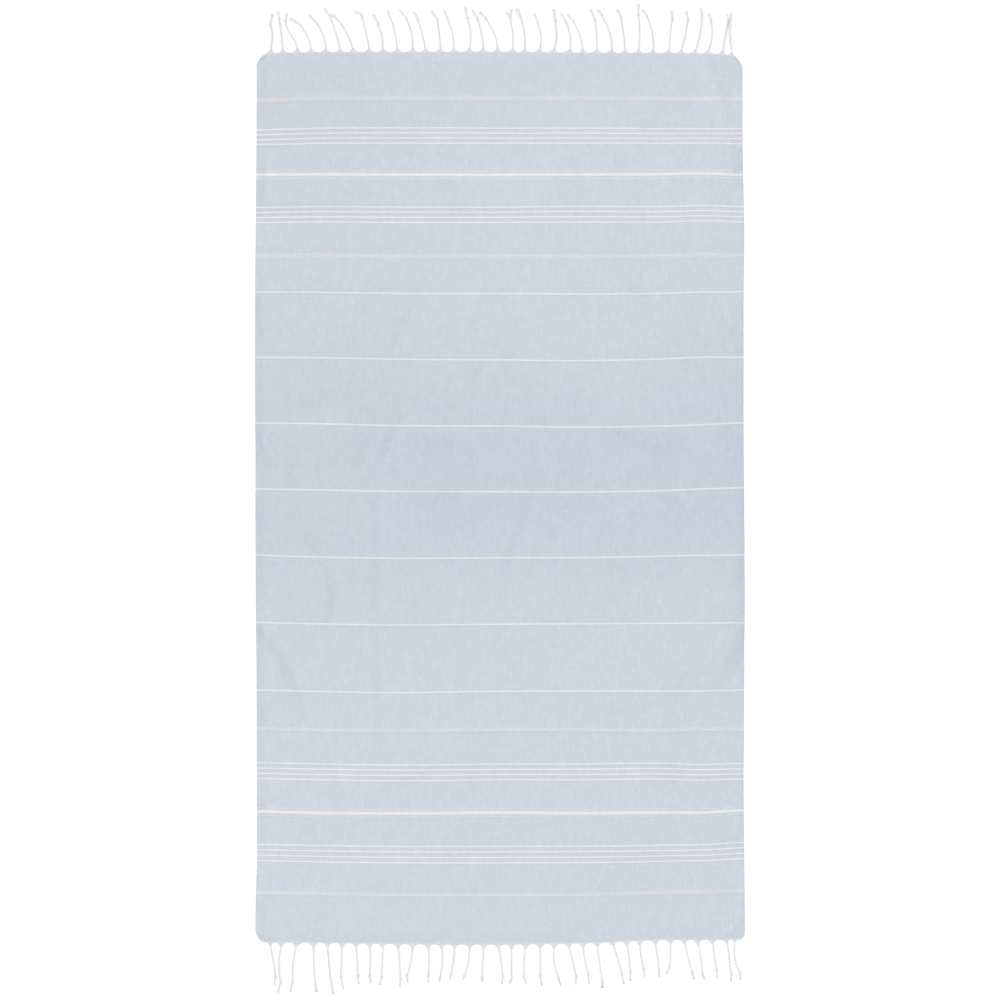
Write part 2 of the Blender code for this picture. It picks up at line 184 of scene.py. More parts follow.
# A thin dark line of painted shadow below a raised line, with no rise and no yarn of its own.
PAINTED_SHADOW_LINE = mirrored(
    RibPoint(-0.50, False),
    RibPoint(0.00, False, 0.0, 0.0, 0.0, 0.13),
)

# Woven stripes as evenly spaced lines of thick weft: middle of the group along the cloth, width
# of a line and its rise in mm, its section, how full of its own yarn it is, the number of lines
# and their pitch in mm. A negative width turns the section over.
STRIPE_FIELDS = "name along width rise section fullness lines pitch"
Stripe = namedtuple("Stripe", STRIPE_FIELDS, defaults=(1.0, 1, 0.0))
STRIPES = (
    Stripe("first double", 822.3, 11.2, 0.30, DOUBLE_RIB),
    Stripe("first fine group", 745.0, 3.4, 0.45, WARM_RIB, 0.95, 4, 10.4),
    Stripe("first bold", 664.9, 6.6, 0.60, BOLD_RIB),
    Stripe("first bold's edging", 664.9, 2.0, 0.20, ROUND_RIB, 0.55, 2, 14.8),
    Stripe("second fine group", 583.3, 3.3, 0.45, WARM_RIB, 0.95, 4, 10.4),
    Stripe("second double", 499.6, 9.8, 0.30, DOUBLE_RIB),
    Stripe("first to third single", 286.6, 3.4, 0.45, WARM_RIB, 1.0, 3, 135.5),
    Stripe("fourth single", 16.7, 3.5, 0.45, WARM_RIB),
    Stripe("fifth single", -118.3, 3.4, 0.45, WARM_RIB),
    Stripe("sixth single", -254.2, 3.4, 0.45, WARM_RIB),
    Stripe("seventh single", -391.5, 3.4, 0.45, WARM_RIB),
    Stripe("third double", -470.2, -9.6, 0.30, DOUBLE_RIB),
    Stripe("third fine group", -556.5, 3.2, 0.45, WARM_RIB, 1.0, 4, 10.7),
    Stripe("second bold", -639.7, 6.6, 0.60, BOLD_RIB),
    Stripe("second bold's edging", -639.7, 2.0, 0.20, ROUND_RIB, 0.45, 2, 16.4),
    # A thin shadow painted below the second bold's edging.
    Stripe("foot of the second bold", -649.5, 2.0, 0.0, PAINTED_SHADOW_LINE),
    Stripe("fourth fine group", -725.6, 3.3, 0.45, WARM_RIB, 1.0, 4, 11.3),
    Stripe("fourth double", -809.3, -10.4, 0.30, DOUBLE_RIB),
)

# Soft creases laid by hand, all in mm: where each starts and ends, how far its middle bows to
# the left of that run, its half width and its rise. A negative rise is a trough.
Crease = namedtuple("Crease", "name x y to_x to_y bow width rise")
CREASES = (
    Crease("arc by the left side", -488, -272, -402, -446, 16, 10, -1.4),
    Crease("swell inside the arc", -462, -335, -440, -430, 0, 16, 0.6),
    Crease("long fold line left", -249, 25, -251, -235, 0, 8, -0.70),
    Crease("long fold line left, lower", -251, -270, -240, -540, 0, 9, -0.50),
    Crease("middle fold line", 69, 24, 17, -130, 3, 9, -0.80),
    Crease("middle fold line, lower", 17, -130, 12, -320, 0, 8, -0.30),
    Crease("upper right fold", 392, 932, 468, 735, 14, 13, 0.9),
    Crease("beyond the upper right fold", 425, 915, 480, 790, 8, 11, -0.45),
    Crease("upper middle lean", -78, 815, -120, 690, -5, 10, 0.45),
    Crease("upper middle lean, lower", -125, 660, -172, 520, 0, 10, 0.50),
    Crease("second lean", -70, 560, -120, 430, 0, 9, 0.45),
    Crease("third lean", -30, 440, -88, 318, 0, 9, 0.55),
    Crease("fourth lean", -268, 480, -325, 345, 4, 10, 0.55),
    Crease("fifth lean", -170, 415, -225, 300, 0, 11, -0.60),
    Crease("right lean", 160, 700, 176, 590, 0, 10, -0.45),
    Crease("right lean, upper", 285, 640, 300, 560, 0, 9, -0.40),
    Crease("left dip", -205, 160, -255, 60, 0, 13, -0.80),
    Crease("left dip, upper", -258, 130, -292, 70, 0, 12, -0.60),
    Crease("dimple by the middle", -38, 285, -52, 240, 0, 9, -0.80),
    Crease("dimple on the right", 268, 442, 306, 412, 0, 12, -1.40),
    Crease("right middle dip", 250, 135, 380, 90, -8, 18, -1.00),
    Crease("right middle dip, lower", 345, 10, 378, -20, 0, 12, -0.70),
    Crease("left middle dip", -150, 112, -60, 96, 0, 16, -0.80),
    Crease("lower left bend", -400, -60, -338, -178, 8, 10, -0.75),
    Crease("lower left bend, end", -338, -182, -350, -250, 6, 9, -0.75),
    Crease("lower left lean", -352, -510, -296, -705, -4, 10, -0.50),
    Crease("lower right dip", 170, -462, 300, -428, 8, 15, -0.80),
    Crease("lower right lean", 340, -560, 372, -690, 0, 12, -0.35),
    Crease("fold by the lower right corner", 455, -905, 492, -862, 3, 6, 0.9),
    Crease("tuck below the upper left corner", -470, 905, -492, 860, -3, 6, 0.9),
    Crease("tuck beside the upper left corner", -452, 900, -480, 850, -3, 8, -0.2),
    Crease("tuck at the lower left corner", -494, -868, -458, -906, -4, 5, 0.9),
    Crease("tuck at the upper right corner", 462, 902, 492, 858, 3, 6, 0.9),
    Crease("dimple by the first double", -305, 822, -298, 800, 0, 9, -0.6),
    Crease("dip below the first bold", -225, 655, -330, 602, 4, 16, -0.45),
    Crease("dimple on the left", -316, 438, -324, 415, 0, 8, -0.6),
    Crease("left middle dip, lower", -175, 14, -90, 4, 0, 15, -0.7),
    Crease("lower right dip, left end", 95, -402, 165, -420, 0, 14, -0.4),
    Crease("lower right dip, right end", 372, -398, 402, -350, 0, 16, -0.7),
    Crease("hem pucker, left first", -494, 912, -486, 892, 0, 10, -0.3),
    Crease("hem pucker, left fourth", -497, 240, -486, 226, 0, 10, -0.6),
    Crease("hem pucker, left fifth", -497, 134, -486, 106, 0, 10, -0.7),
    Crease("hem pucker, left seventh", -497, -108, -484, -142, 0, 10, -0.8),
    Crease("hem pucker, left eighth", -497, -262, -488, -296, 0, 10, -0.8),
    Crease("hem pucker, left last", -492, -612, -482, -642, 0, 10, -0.6),
    Crease("hem pucker, right first", 500, 722, 488, 652, 0, 12, -1.4),
    Crease("hem pucker, right fourth", 500, -112, 488, -172, 0, 12, -1.5),
    Crease("hem bend, right upper", 502, 395, 474, 330, 3, 9, -0.6),
    Crease("hem bend, right middle", 502, 110, 462, 130, 3, 12, -1.0),
    Crease("hem bend, right lower", 502, -262, 476, -345, 4, 13, -1.8),
    Crease("hem bend, right low", 472, -352, 446, -388, 0, 12, -1.3),
    Crease("hem bend, right lowest", 500, -640, 478, -720, 4, 8, -0.8),
    Crease("hem bend, left upper", -500, 850, -470, 790, -4, 10, -0.6),
    Crease("hem bend, left high", -480, 690, -490, 590, 0, 9, -0.9),
    Crease("hem bend, left middle", -498, 430, -484, 340, -4, 10, -1.4),
    Crease("hem bend, left low", -498, 5, -484, -20, 0, 10, -0.2),
    Crease("hem bend, left lower", -500, -400, -484, -450, -4, 10, -1.4),
)

# Narrow tucks at the corners and along the hems, as creases are, and the share of light lost
# in each, as shade painted into its fold. A negative share is light painted on a folded-over strip.
Tuck = namedtuple("Tuck", "name x y to_x to_y bow width rise shade")
TUCKS = (
    Tuck("upper left tuck", -489.0, 899.0, -478.0, 907.5, 0.5, 1.7, -0.6, 0.22),
    Tuck("strip beside the upper left tuck", -484.0, 908.0, -472.0, 915.0, 0.0, 2.0, 0.3, -0.06),
    Tuck("upper right tuck", 478.5, 905.5, 491.5, 891.5, 1.2, 1.4, -0.6, 0.20),
    Tuck("lower left tuck", -493.5, -889.5, -476.5, -903.5, 0.6, 1.3, -0.6, 0.22),
    Tuck("strip beside the lower left tuck", -488.0, -898.0, -478.0, -907.5, 0.0, 2.2, 0.3, -0.05),
    Tuck("lower right tuck", 483.0, -895.0, 489.0, -889.0, 0.0, 1.4, -0.4, 0.14),
    Tuck("left creases, outer", -481.0, 862.0, -474.0, 836.0, -1.5, 2.6, -0.3, 0.035),
    Tuck("left creases, inner", -470.0, 856.0, -463.0, 838.0, 1.0, 2.4, -0.3, 0.03),
    Tuck("right hem mark, upper", 479.0, 786.0, 482.0, 768.0, 0.6, 2.6, -0.3, 0.04),
    Tuck("right hem mark", 479.5, 712.0, 482.0, 668.0, -0.6, 2.8, -0.3, 0.04),
)

# Painted shade in a trough and painted light on a ridge: the share of light that each takes from
# or adds to the cloth's colour, for each mm of its rise.
TROUGH_PAINTED_SHADE = 0.034
RIDGE_PAINTED_LIGHT = 0.008
# How near its ends a crease fades, how soon it does, and how far it runs on past them in
# shares of its half width.
CREASE_END = 0.12
CREASE_FADE = 0.7
CREASE_BEYOND = 1.5
# Height of the cloth's underside over the surface, and how softly it comes down to it.
BASE_LIFT = 0.0020
LIFT_SOFTNESS = 0.0005
# Broad unevenness of the cloth, waves beside its hems, and how far a folded-over hem shifts.
# A swell's detail is its roughness, the step between its sizes and how many sizes it has.
SWELL_REACH = (0.21, 0.16)
SWELL_RISE = 0.0011
SWELL_DETAIL = (1.0, 2.1, 3)
SWELL_SEED = 5.1
HEM_WAVE_REACH = 0.045
HEM_WAVE_FADE = 1.5
HEM_WAVE_PITCH = 0.055
HEM_WAVE_RISE = 0.0006
HEM_WAVE_SEEDS = (3.7, 11.3)
HEM_JOG = 0.0013
HEM_JOG_PITCH = 0.09
HEM_JOG_RAMP = 0.0026
HEM_JOG_SEEDS = (2.0, 9.0)
# The cloth lies calmer towards its ends and its sides: from where, and the share that is left.
STEADY_EDGE = 0.020
RELIEF_AT_END = 0.25
RELIEF_AT_SIDE = 0.5
# Groove that the stitches draw into a hem: its share of the hem's rise, and its half width.
GROOVE_DEPTH = 0.30
GROOVE_REACH = 0.0007

# Columns and rows of points near the outline, as distances in from it in mm, and the widest
# steps inland. The underside has every row and column that its outline and its colour need.
EDGE_COLUMNS = (0.0, 0.12, 0.4, 0.9, 2.4, 4.6, 7.0, 9.5, 12.0, 13.7, 14.4, 15.4, 16.6, 18.0)
EDGE_COLUMNS += (20.5, 23.5, 27.0, 31.0, 36.0, 41.5, 47.5, 54.0, 61.0)
EDGE_ROWS = (0.0, 0.1, 0.35, 0.9, 2.4, 4.4, 6.6, 8.8, 11.0, 13.4, 16.0, 18.6, 21.4, 24.4, 27.6)
EDGE_ROWS += (32.0, 38.0, 45.0)
BELOW_EDGE = (0.0, 0.4, 0.9, 7.0, 16.6, 31.0, 47.5)
BELOW_END = (0.0, 0.35, 0.9, 8.8, 18.6, 32.0)
WIDEST_COLUMN = 0.0071
WIDEST_ROW = 0.0098
COLUMNS_A_STEP_BELOW = 4
# Inland the underside follows only a share of the lift: from how far in, and that share.
BELOW_INLAND = (0.005, 0.020)
BELOW_LIFT = 0.35
# How far in the hem's fold and the cloth's end are rounded, and the width of the hem's step.
HEM_ROUND = 0.0009
END_ROUND = 0.0006
HEM_STEP = 0.0040

# Broad tones over the cloth, among them a darker band across its middle: middle and reach in mm,
# and the tint at its middle.
Tone = namedtuple("Tone", "name x y reach_x reach_y tint")
TONES = (
    Tone("middle band", 0, 40, 1400, 245, (0.938, 0.931, 0.968)),
    Tone("upper left corner", -420, 840, 290, 210, (0.981, 0.973, 0.967)),
    Tone("left upper middle", -310, 340, 240, 220, (0.977, 0.983, 0.979)),
    Tone("left of the middle", -360, 30, 150, 110, (1.024, 1.023, 1.001)),
    Tone("left lower middle", -410, -215, 110, 90, (0.980, 0.984, 0.983)),
    Tone("left edge below that", -450, -390, 60, 110, (0.993, 0.991, 0.988)),
    Tone("lower left corner", -400, -780, 300, 260, (1.022, 1.012, 1.012)),
    Tone("right upper middle", 430, 330, 110, 220, (0.985, 0.982, 0.988)),
    Tone("upper right", 210, 640, 340, 240, (1.014, 1.014, 1.006)),
    Tone("lower right", 430, -350, 150, 280, (0.992, 0.990, 0.991)),
)

# Each tassel of a fringe, in mm: root across the cloth, lean and drop of the knot from the
# root, sideways bow of the cord half way, sideways kick and length of the tail, and how far an
# S-shaped cord sways to each side of that.
Tassel = namedtuple("Tassel", "root lean drop bow kick tail sway", defaults=(0,))
TOP_FRINGE = (
    Tassel(-469, -2, 58, 3, 5, 19, -1),
    Tassel(-445, -8, 69, 1, -1, 14),
    Tassel(-414, -26, 65, 0, 4, 14, 2.4),
    Tassel(-387, -23, 56, 5, -19, 12),
    Tassel(-357, -18, 58, 5, -15, 16),
    Tassel(-327, -23, 74, 2, -9, 13),
    Tassel(-300, -25, 56, 3, -17, 19),
    Tassel(-267, -18, 77, 1, -11, 5),
    Tassel(-241, -10, 57, 4, -8, 18),
    Tassel(-210, -11, 58, 1, -9, 24),
    Tassel(-180, -13, 69, 5, -13, 16),
    Tassel(-152, -17, 66, 1, -8, 14),
    Tassel(-122, -8, 68, 1, -10, 13),
    Tassel(-95, -14, 69, 4, -5, 14),
    Tassel(-64, -4, 69, 5, -4, 21),
    Tassel(-35, -12, 67, 3, -10, 18),
    Tassel(-5, -25, 68, 6, -11, 13),
    Tassel(25, -5, 67, 3, -3, 17),
    Tassel(50, -10, 75, 4, -6, 12),
    Tassel(79, -4, 62, 6, -5, 16),
    Tassel(109, 3, 64, 4, -2, 22),
    Tassel(142, -8, 62, 5, -8, 16),
    Tassel(169, -20, 64, 4, -10, 14),
    Tassel(197, -4, 67, 2, -7, 19),
    Tassel(228, -21, 77, 7, -6, 9),
    Tassel(255, -9, 73, 2, -6, 15),
    Tassel(282, 0, 79, 3, 1, 20),
    Tassel(313, -14, 77, 5, -7, 11),
    Tassel(345, 6, 68, -1, 0, 17),
    Tassel(368.5, 15, 68, 2, -3, 16),
    Tassel(397.5, 15, 79, 4, -3, 12),
    Tassel(423.5, 7, 68, 6, -4, 13),
    Tassel(454, 12, 69, 0, -1, 11),
    Tassel(475, -4.5, 59, -2, 3, 24),
)
BOTTOM_FRINGE = (
    Tassel(-473, 12, 70, 2, -1, 19),
    Tassel(-448, -2, 81, -4, -5, 23),
    Tassel(-417, -8, 79, -3, -5, 23),
    Tassel(-382, 4, 87, -2, 2, 15),
    Tassel(-354, 8, 84, -1, 5, 24),
    Tassel(-324, -3, 68, 0, 6, 27),
    Tassel(-295, 3, 65, 0, 3, 20),
    Tassel(-267, -1, 66, 1, 5, 16),
    Tassel(-241, -3, 68, 1, -3, 17),
    Tassel(-210, 5, 71, 1, 0, 18),
    Tassel(-180, -12, 66, 3, 4, 15),
    Tassel(-148, 0, 62, 2, 1, 18),
    Tassel(-121, -3, 66, 4, 0, 12),
    Tassel(-94, -8, 61, 2, -1, 12),
    Tassel(-63, -11, 64, 3, -3, 8),
    Tassel(-34, -4, 66, 0, 2, 11),
    Tassel(-4, 8, 64, 1, 0, 18),
    Tassel(22.5, 0, 66, 0, -2, 15),
    Tassel(52, -4, 66, -2, 6, 15),
    Tassel(81, 0.5, 63, 0, 4, 22),
    Tassel(110.5, 7.5, 68, -5, 7, 18),
    Tassel(139, 16, 66, 0, -1, 18),
    Tassel(169, 10, 61, -2, 4, 22),
    Tassel(198.5, 9.5, 75, -1, 1, 19),
    Tassel(229, 19, 64, 1, 6, 23),
    Tassel(258, 7.5, 62, 1, 1, 20),
    Tassel(284.5, 8, 56, -1, 4, 19),
    Tassel(316.5, 8, 60, 0, 1, 16),
    Tassel(348, -2, 56, 1, -7, 15),
    Tassel(375, 16.5, 66, 0, 6, 15),
    Tassel(403.5, 10, 70, 1, 5, 11),
    Tassel(434, 8, 61, -1, 3, 20),
    Tassel(463.5, 8.5, 70, 0, 1, 16),
    Tassel(480.5, 9.5, 68, -6, 2, 15),
)
FRINGES = {"top": TOP_FRINGE, "bottom": BOTTOM_FRINGE}
OUTWARD = {"top": 1, "bottom": -1}

# Tails that stand out from the rest: end, number from the left, spread of the tip in mm and
# whether the tail parts in two.
OddTail = namedtuple("OddTail", "end number spread parted")
ODD_TAILS = (
    OddTail("top", 18, 11.5, True),
    OddTail("top", 19, 10.0, False),
    OddTail("top", 21, 7.5, False),
    OddTail("top", 27, 4.0, False),
    OddTail("top", 32, 8.0, False),
    OddTail("top", 33, 3.8, False),
    OddTail("top", 34, 3.8, False),
    OddTail("bottom", 4, 8.0, False),
    OddTail("bottom", 5, 6.5, False),
    OddTail("bottom", 24, 8.0, False),
)

# Share of its own white that a stripe keeps where the cloth round it is tinted.
STRIPE_KEEPS = 0.6

# Unevenness of the weave: size of its grain across and along the cloth, its detail and seed.
Grain = namedtuple("Grain", "across along detail seed")
GRAINS = {
    "warp streak": Grain(0.0024, 0.018, 2.0, 1.7),
    "warp band": Grain(0.0065, 0.21, 2.0, 4.2),
    "weft streak": Grain(0.024, 0.0022, 2.0, 7.9),
    "slub": Grain(0.0042, 0.0085, 1.0, 12.4),
    "fragment": Grain(0.009, 0.022, 2.0, 16.8),
    "cloud": Grain(0.028, 0.040, 3.0, 20.3),
    "drift": Grain(0.16, 0.19, 2.0, 31.0),
    "stripe patch": Grain(0.024, 0.003, 2.0, 50.0),
    "hem patch": Grain(0.3, 0.05, 2.0, 44.0),
}
STREAK_WEIGHTS = {"warp streak": 0.38, "warp band": 0.08, "weft streak": 0.39, "slub": 0.34}
MOTTLE_WEIGHTS = {"streaks": 0.108, "fragment": 0.092, "cloud": 0.040, "drift": 0.030}
THREAD_WEIGHTS = {"thread": 0.55, "streaks": 0.9, "slub": 0.5, "seam": -0.6}
# Share of the warp that shows where the weft lies over it, and how much more where it doesn't.
WARP_SEEN = 0.35
WARP_SEEN_OVER = 0.30
CROSSING_SHARPNESS = 4.0
# White and beige yarn in a stripe: its usual share, its patches and how much more in a hem.
STRIPE_FULL = 0.97
STRIPE_PATCHES = 0.5
STRIPE_IN_HEM = 0.12
# A hem is a little darker: how sharply it starts, the light it loses midway along, how soon
# that fades towards its ends, and what its patches take.
HEM_RAMP = 6.0
HEM_LOSS = 0.020
HEM_MIDDLE = -16.0
HEM_PATCHES = 0.09
# Its fold is darker with painted shade, where it turns away from the light, and its stitches are
# darker too: how narrow the fold is, and the light lost at each.
FOLD_RAMP = 4.5
FOLD_PAINTED_SHADE = 0.05
SEAM_LOSS = 0.08
# The last warp at each end shows bare: how much of it, and how far in.
BARE_SHARE = 0.85
BARE_REACH = 0.0042
# Stitches: half width of their row, how sharply each ends and how much of its length it fills.
STITCH_HALF = 0.0006
STITCH_SHARPNESS = 3.0
STITCH_SHARE = 1.6

# Yarn of the fringes: scales of its patches and its fibres with their detail and seed, and how
# strongly its fibres colour it. Then how strongly they and its turns shape it, and its gloss.
YARN_PATCH = (60.0, 60.0, 2.0, 3.0)
YARN_FIBRE = (9.0, 900.0, 2.0, 8.0)
FIBRE_TONE = 0.10
FIBRE_HEIGHT = 0.6
TURN_HEIGHT = 0.5
COTTON_SPECULAR = 0.25

# Each fringe's yarn: share of a knot's full width, least and most of the dark yarn in a strand,
# then a plain tail's strands, the size of one in mm, the share of that left at its tip, how
# much darker its strands are with painted shade, the share of the tail's length that a strand
# reaches, the spread of the tips in mm and how soon a tail is that wide.
Yarn = namedtuple("Yarn", "knot lightest darkest strands size taper darker reach spread full")
YARNS = {
    "top": Yarn(1.0, 0.20, 1.0, 22, 1.60, 0.95, 0.50, 1.06, 5.8, 0.55),
    "bottom": Yarn(1.12, 0.0, 0.70, 10, 1.05, 0.60, 0.0, 0.93, 4.6, 0.3),
}

# How the warp gathers into a cord: its reach from the cloth's edge in mm, and then, as shares,
# how far it runs in along the edge before it turns out, how wide it still is at its waist, how
# far out that waist lies and how much darker its warp is. Below zero it is lighter, with light
# painted against the shade where its strands crowd together.
Fan = namedtuple("Fan", "tall along_edge waist waist_out darker")
FANS = {"top": Fan(6.8, 0.42, 0.20, 0.42, -0.12), "bottom": Fan(9.6, 0.46, 0.17, 0.40, 0.50)}
# Reach in mm of the warp that the first and the last tassel gather from the corner's side.
CORNER_WARP = {"top": (22, 6), "bottom": (5, 5)}
# How far round the corner, from the cloth's end, a fringe may take its warp.
CORNER_GATHER = 0.006
CORNER_STEPS = 8
FEWEST_WARP_ENDS = 6
# Gathered warp: where it starts inside the cloth, how high, and how far it runs in a cord.
WARP_START = -0.0024
WARP_START_HEIGHT = 0.0012
WARP_HEIGHT = 0.0016
WARP_IN_CORD = 0.004
WARP_END_SHARE = 0.85
# Distances from a root at which a warp end is far out, and at which it lies at a cord's side.
FAR_WARP = 0.0145
FARTHEST = 1.2
SIDE_WARP = 0.010
# How unevenly it runs: of its start inside the cloth, of its turn out from the edge, of its
# waist and of its height in the cord.
START_SHARES = (0.6, 1.1)
TURN_STRAY = (-0.0003, 0.0002)
FAN_SKEW = 0.0012
MOUTH_HEIGHT = 0.75
MOUTH_STRAY = 0.4

# Shares of a cord's diameter: half its mouth, its plies' distance and size. Lengths: how deep
# it starts in the fan, its room over the floor, its opening and its climb to the knot.
CORD_MOUTH = 0.34
PLY_OUT = 0.47
PLY_SIZE = 0.56
CORD_IN_FAN = 0.0025
CORD_CLEARANCE = 0.00005
CORD_OPENING = 0.005
CORD_CLIMB = 0.009
# A knot: its middle's height as a share of its width, the cord drawn tight in it as a share of
# its diameter, its turns, the share of the run in which they tuck in at each end, how far they
# do and how much of the knot's length they fill. Then its plies, as shares of the tight cord,
# and its core: the size of that at each place along half its length.
KNOT_LIE = 0.38
KNOT_WRAP = 0.42
KNOT_TURNS = 1.6
KNOT_TUCK = 0.12
KNOT_TUCKED = 0.75
KNOT_RUN = 0.95
KNOT_PLY_OUT = 0.42
KNOT_PLY_SIZE = 0.62
KNOT_PLY_PITCH = 0.8
KNOT_CORE = {-1.0: 0.55, -0.6: 0.95, 0.0: 1.05, 0.6: 0.95, 1.0: 0.55}
# A tail: more strands in one that stands out, how far a parted one opens and how long its
# shorter half is, then bends and strays in mm.
ODD_STRANDS = 4
PARTING = 0.45
SHORT_HALF = 0.86
TAIL_BEND = 0.8
TIP_STRAY = 0.35
LIE_STRAY = 0.25


# Shapes shared by the cloth and its fringes


def smooth_through(keys, values, at):
    """Value at a place between keyed values, on a curve that runs smoothly through them."""
    at = min(max(at, keys[0]), keys[-1])
    low = min(bisect_right(keys, at) - 1, len(keys) - 2)

    def slope(i):
        before = max(i - 1, 0)
        after = min(i + 1, len(keys) - 1)
        return (values[after] - values[before]) / (keys[after] - keys[before])

    span = keys[low + 1] - keys[low]
    t = (at - keys[low]) / span
    start_share = 2 * t**3 - 3 * t**2 + 1
    start_pull = (t**3 - 2 * t**2 + t) * span * slope(low)
    end_pull = (t**3 - t**2) * span * slope(low + 1)
    return values[low] * start_share + values[low + 1] * (1 - start_share) + start_pull + end_pull


UPWARD_WEFTS = sorted(WEFTS, key=lambda weft: weft.along)
WEFT_HEIGHTS = [weft.along * MM for weft in UPWARD_WEFTS]
UPWARD_SIDES = sorted(SIDES)
SIDE_HEIGHTS = [row.along * MM for row in UPWARD_SIDES]
SIDE_EXTRAS = {side: [getattr(row, side) * MM for row in UPWARD_SIDES] for side in ("left", "right")}


def column_drifts(across):
    """How far each weft row has drifted up at a place across the cloth."""
    drifts = []
    for weft in UPWARD_WEFTS:
        shifts = (weft.left_rim, weft.left, weft.left_mid, 0.0)
        shifts += (weft.right_mid, weft.right, weft.right_far, weft.right_rim)
        drifts.append(smooth_through(WEFT_PLACES, shifts, across) * MM)
    return drifts


def side_reach(side, along):
    """Distance from the middle line to a long side, before its corners are drawn in."""
    return HALF_WIDTH + smooth_through(SIDE_HEIGHTS, SIDE_EXTRAS[side], along)


def corner_inset(side, along):
    """How far a drawn-in corner has pulled a long side towards the middle line."""
    end = "top" if along > 0 else "bottom"
    corner = CORNERS[end, side]
    to_end = TOP_END - along if end == "top" else along - BOTTOM_END
    climb = max(0.0, 1 - to_end / (corner.cut_along * MM))
    left_over = max(0.0, 1 - climb**corner.fullness) ** (1 / corner.fullness)
    return corner.cut_in * MM * (1 - left_over)


def cloth_place(across, along, drifts):
    """X and Y of a point of the cloth: across runs from -1 to 1, along is its weft row."""
    x = across * side_reach("left" if across < 0 else "right", along)
    for side, sign in (("left", -1), ("right", 1)):
        from_side = side_reach(side, along) - sign * x
        closeness = max(0.0, 1 - from_side / CORNER_REACH)
        x -= sign * corner_inset(side, along) * closeness**2
    return x, along + smooth_through(WEFT_HEIGHTS, drifts, along)


# Cloth


def cloth_columns():
    """Places across the cloth, from -1 at the left side to 1 at the right."""
    inland = EDGE_COLUMNS[-1] * MM
    steps = math.ceil((HALF_WIDTH - inland) / WIDEST_COLUMN)
    right = [k / steps * (HALF_WIDTH - inland) for k in range(1, steps + 1)]
    right += [HALF_WIDTH - inset * MM for inset in reversed(EDGE_COLUMNS[:-1])]
    shares = [x / HALF_WIDTH for x in right]
    return [-share for share in reversed(shares)] + [0.0] + shares


Row = namedtuple("Row", "along rise white beige shade below")


def cloth_rows():
    """Rows up the cloth: weft row, rise of the rib there, its yarn, its painted shade, and if the
    underside has it.
    """
    rows = []
    for stripe in STRIPES:
        for line in range(stripe.lines):
            middle = stripe.along + stripe.pitch * (line - (stripe.lines - 1) / 2)
            for point in stripe.section:
                along = (middle + stripe.width * point.aside) * MM
                # The white and beige yarn there, and the shade painted at the line's foot.
                yarn = (stripe.fullness * point.white, stripe.fullness * point.beige, point.shade)
                rows.append(Row(along, stripe.rise * point.height * MM, *yarn, point.below))
    for inset in EDGE_ROWS:
        for along in (TOP_END - inset * MM, BOTTOM_END + inset * MM):
            rows.append(Row(along, 0.0, 0.0, 0.0, 0.0, inset in BELOW_END))
    rows.sort()
    filled = [rows[0]]
    for row in rows[1:]:
        start = filled[-1].along
        extra = int((row.along - start) / WIDEST_ROW)
        for k in range(1, extra + 1):
            along = start + (row.along - start) * k / (extra + 1)
            filled.append(Row(along, 0.0, 0.0, 0.0, 0.0, k % 2 == 0))
        filled.append(row)
    return filled


def columns_below(columns):
    """Numbers of the columns that the underside has."""
    kept = []
    for c, across in enumerate(columns):
        inset = round((1 - abs(across)) * HALF_WIDTH / MM, 3)
        inland = inset > EDGE_COLUMNS[-1]
        if inset in BELOW_EDGE or (inland and c % COLUMNS_A_STEP_BELOW == 0):
            kept.append(c)
    return kept


def crease_share(crease, x, y):
    """How far points share in one crease: 1 along its bowed line, fading softly beside it."""
    start = np.array((crease.x, crease.y)) * MM
    run = np.array((crease.to_x, crease.to_y)) * MM - start
    length = np.hypot(*run)
    along_x, along_y = run / length
    share = ((x - start[0]) * along_x + (y - start[1]) * along_y) / length
    inside = np.clip(share, 0.0, 1.0)
    aside = (x - start[0]) * -along_y + (y - start[1]) * along_x
    aside = aside - crease.bow * MM * np.sin(np.pi * inside)
    beyond = (share - inside) * length
    width = crease.width * MM
    faded = np.clip(CREASE_END + (1 - 2 * CREASE_END) * inside, 0.0, 1.0)
    fade = np.sin(np.pi * faded) ** CREASE_FADE
    return fade * np.exp(-((aside / width) ** 2) - (beyond / (CREASE_BEYOND * width)) ** 2)


def hem_wave(x, y, from_side):
    """Small waves that a hem's stitching draws into the cloth beside it."""
    near = np.clip(1 - from_side / HEM_WAVE_REACH, 0.0, 1.0) ** HEM_WAVE_FADE
    side = np.where(x < 0, *HEM_WAVE_SEEDS)
    waves = [noise.noise(Vector((s, b / HEM_WAVE_PITCH, 0.0))) for s, b in zip(side.flat, y.flat)]
    return near * HEM_WAVE_RISE * np.array(waves).reshape(x.shape)


def broad_swell(x, y):
    """Broad, low unevenness of cloth that was spread out by hand."""
    reach_x, reach_y = SWELL_REACH
    places = zip((x / reach_x).flat, (y / reach_y).flat)
    swell = [noise.fractal(Vector((a, b, SWELL_SEED)), *SWELL_DETAIL) for a, b in places]
    return SWELL_RISE * np.array(swell).reshape(x.shape)


def lift_of(x, y, from_side, from_end, unevenness):
    """Height of the cloth's underside over the surface: nowhere below it."""
    relief = np.full(x.shape, BASE_LIFT)
    relief += broad_swell(x, y) * unevenness
    relief += hem_wave(x, y, from_side) * unevenness
    for crease in CREASES + TUCKS:
        relief += crease_share(crease, x, y) * crease.rise * MM * unevenness
    relief = LIFT_SOFTNESS * np.logaddexp(0.0, relief / LIFT_SOFTNESS)
    settled = np.clip(from_end / STEADY_EDGE, 0.0, 1.0)
    beside = np.clip(from_side / HEM_WAVE_REACH, 0.0, 1.0)
    at_end = RELIEF_AT_END + (1 - RELIEF_AT_END) * settled
    return relief * at_end * (RELIEF_AT_SIDE + (1 - RELIEF_AT_SIDE) * beside)


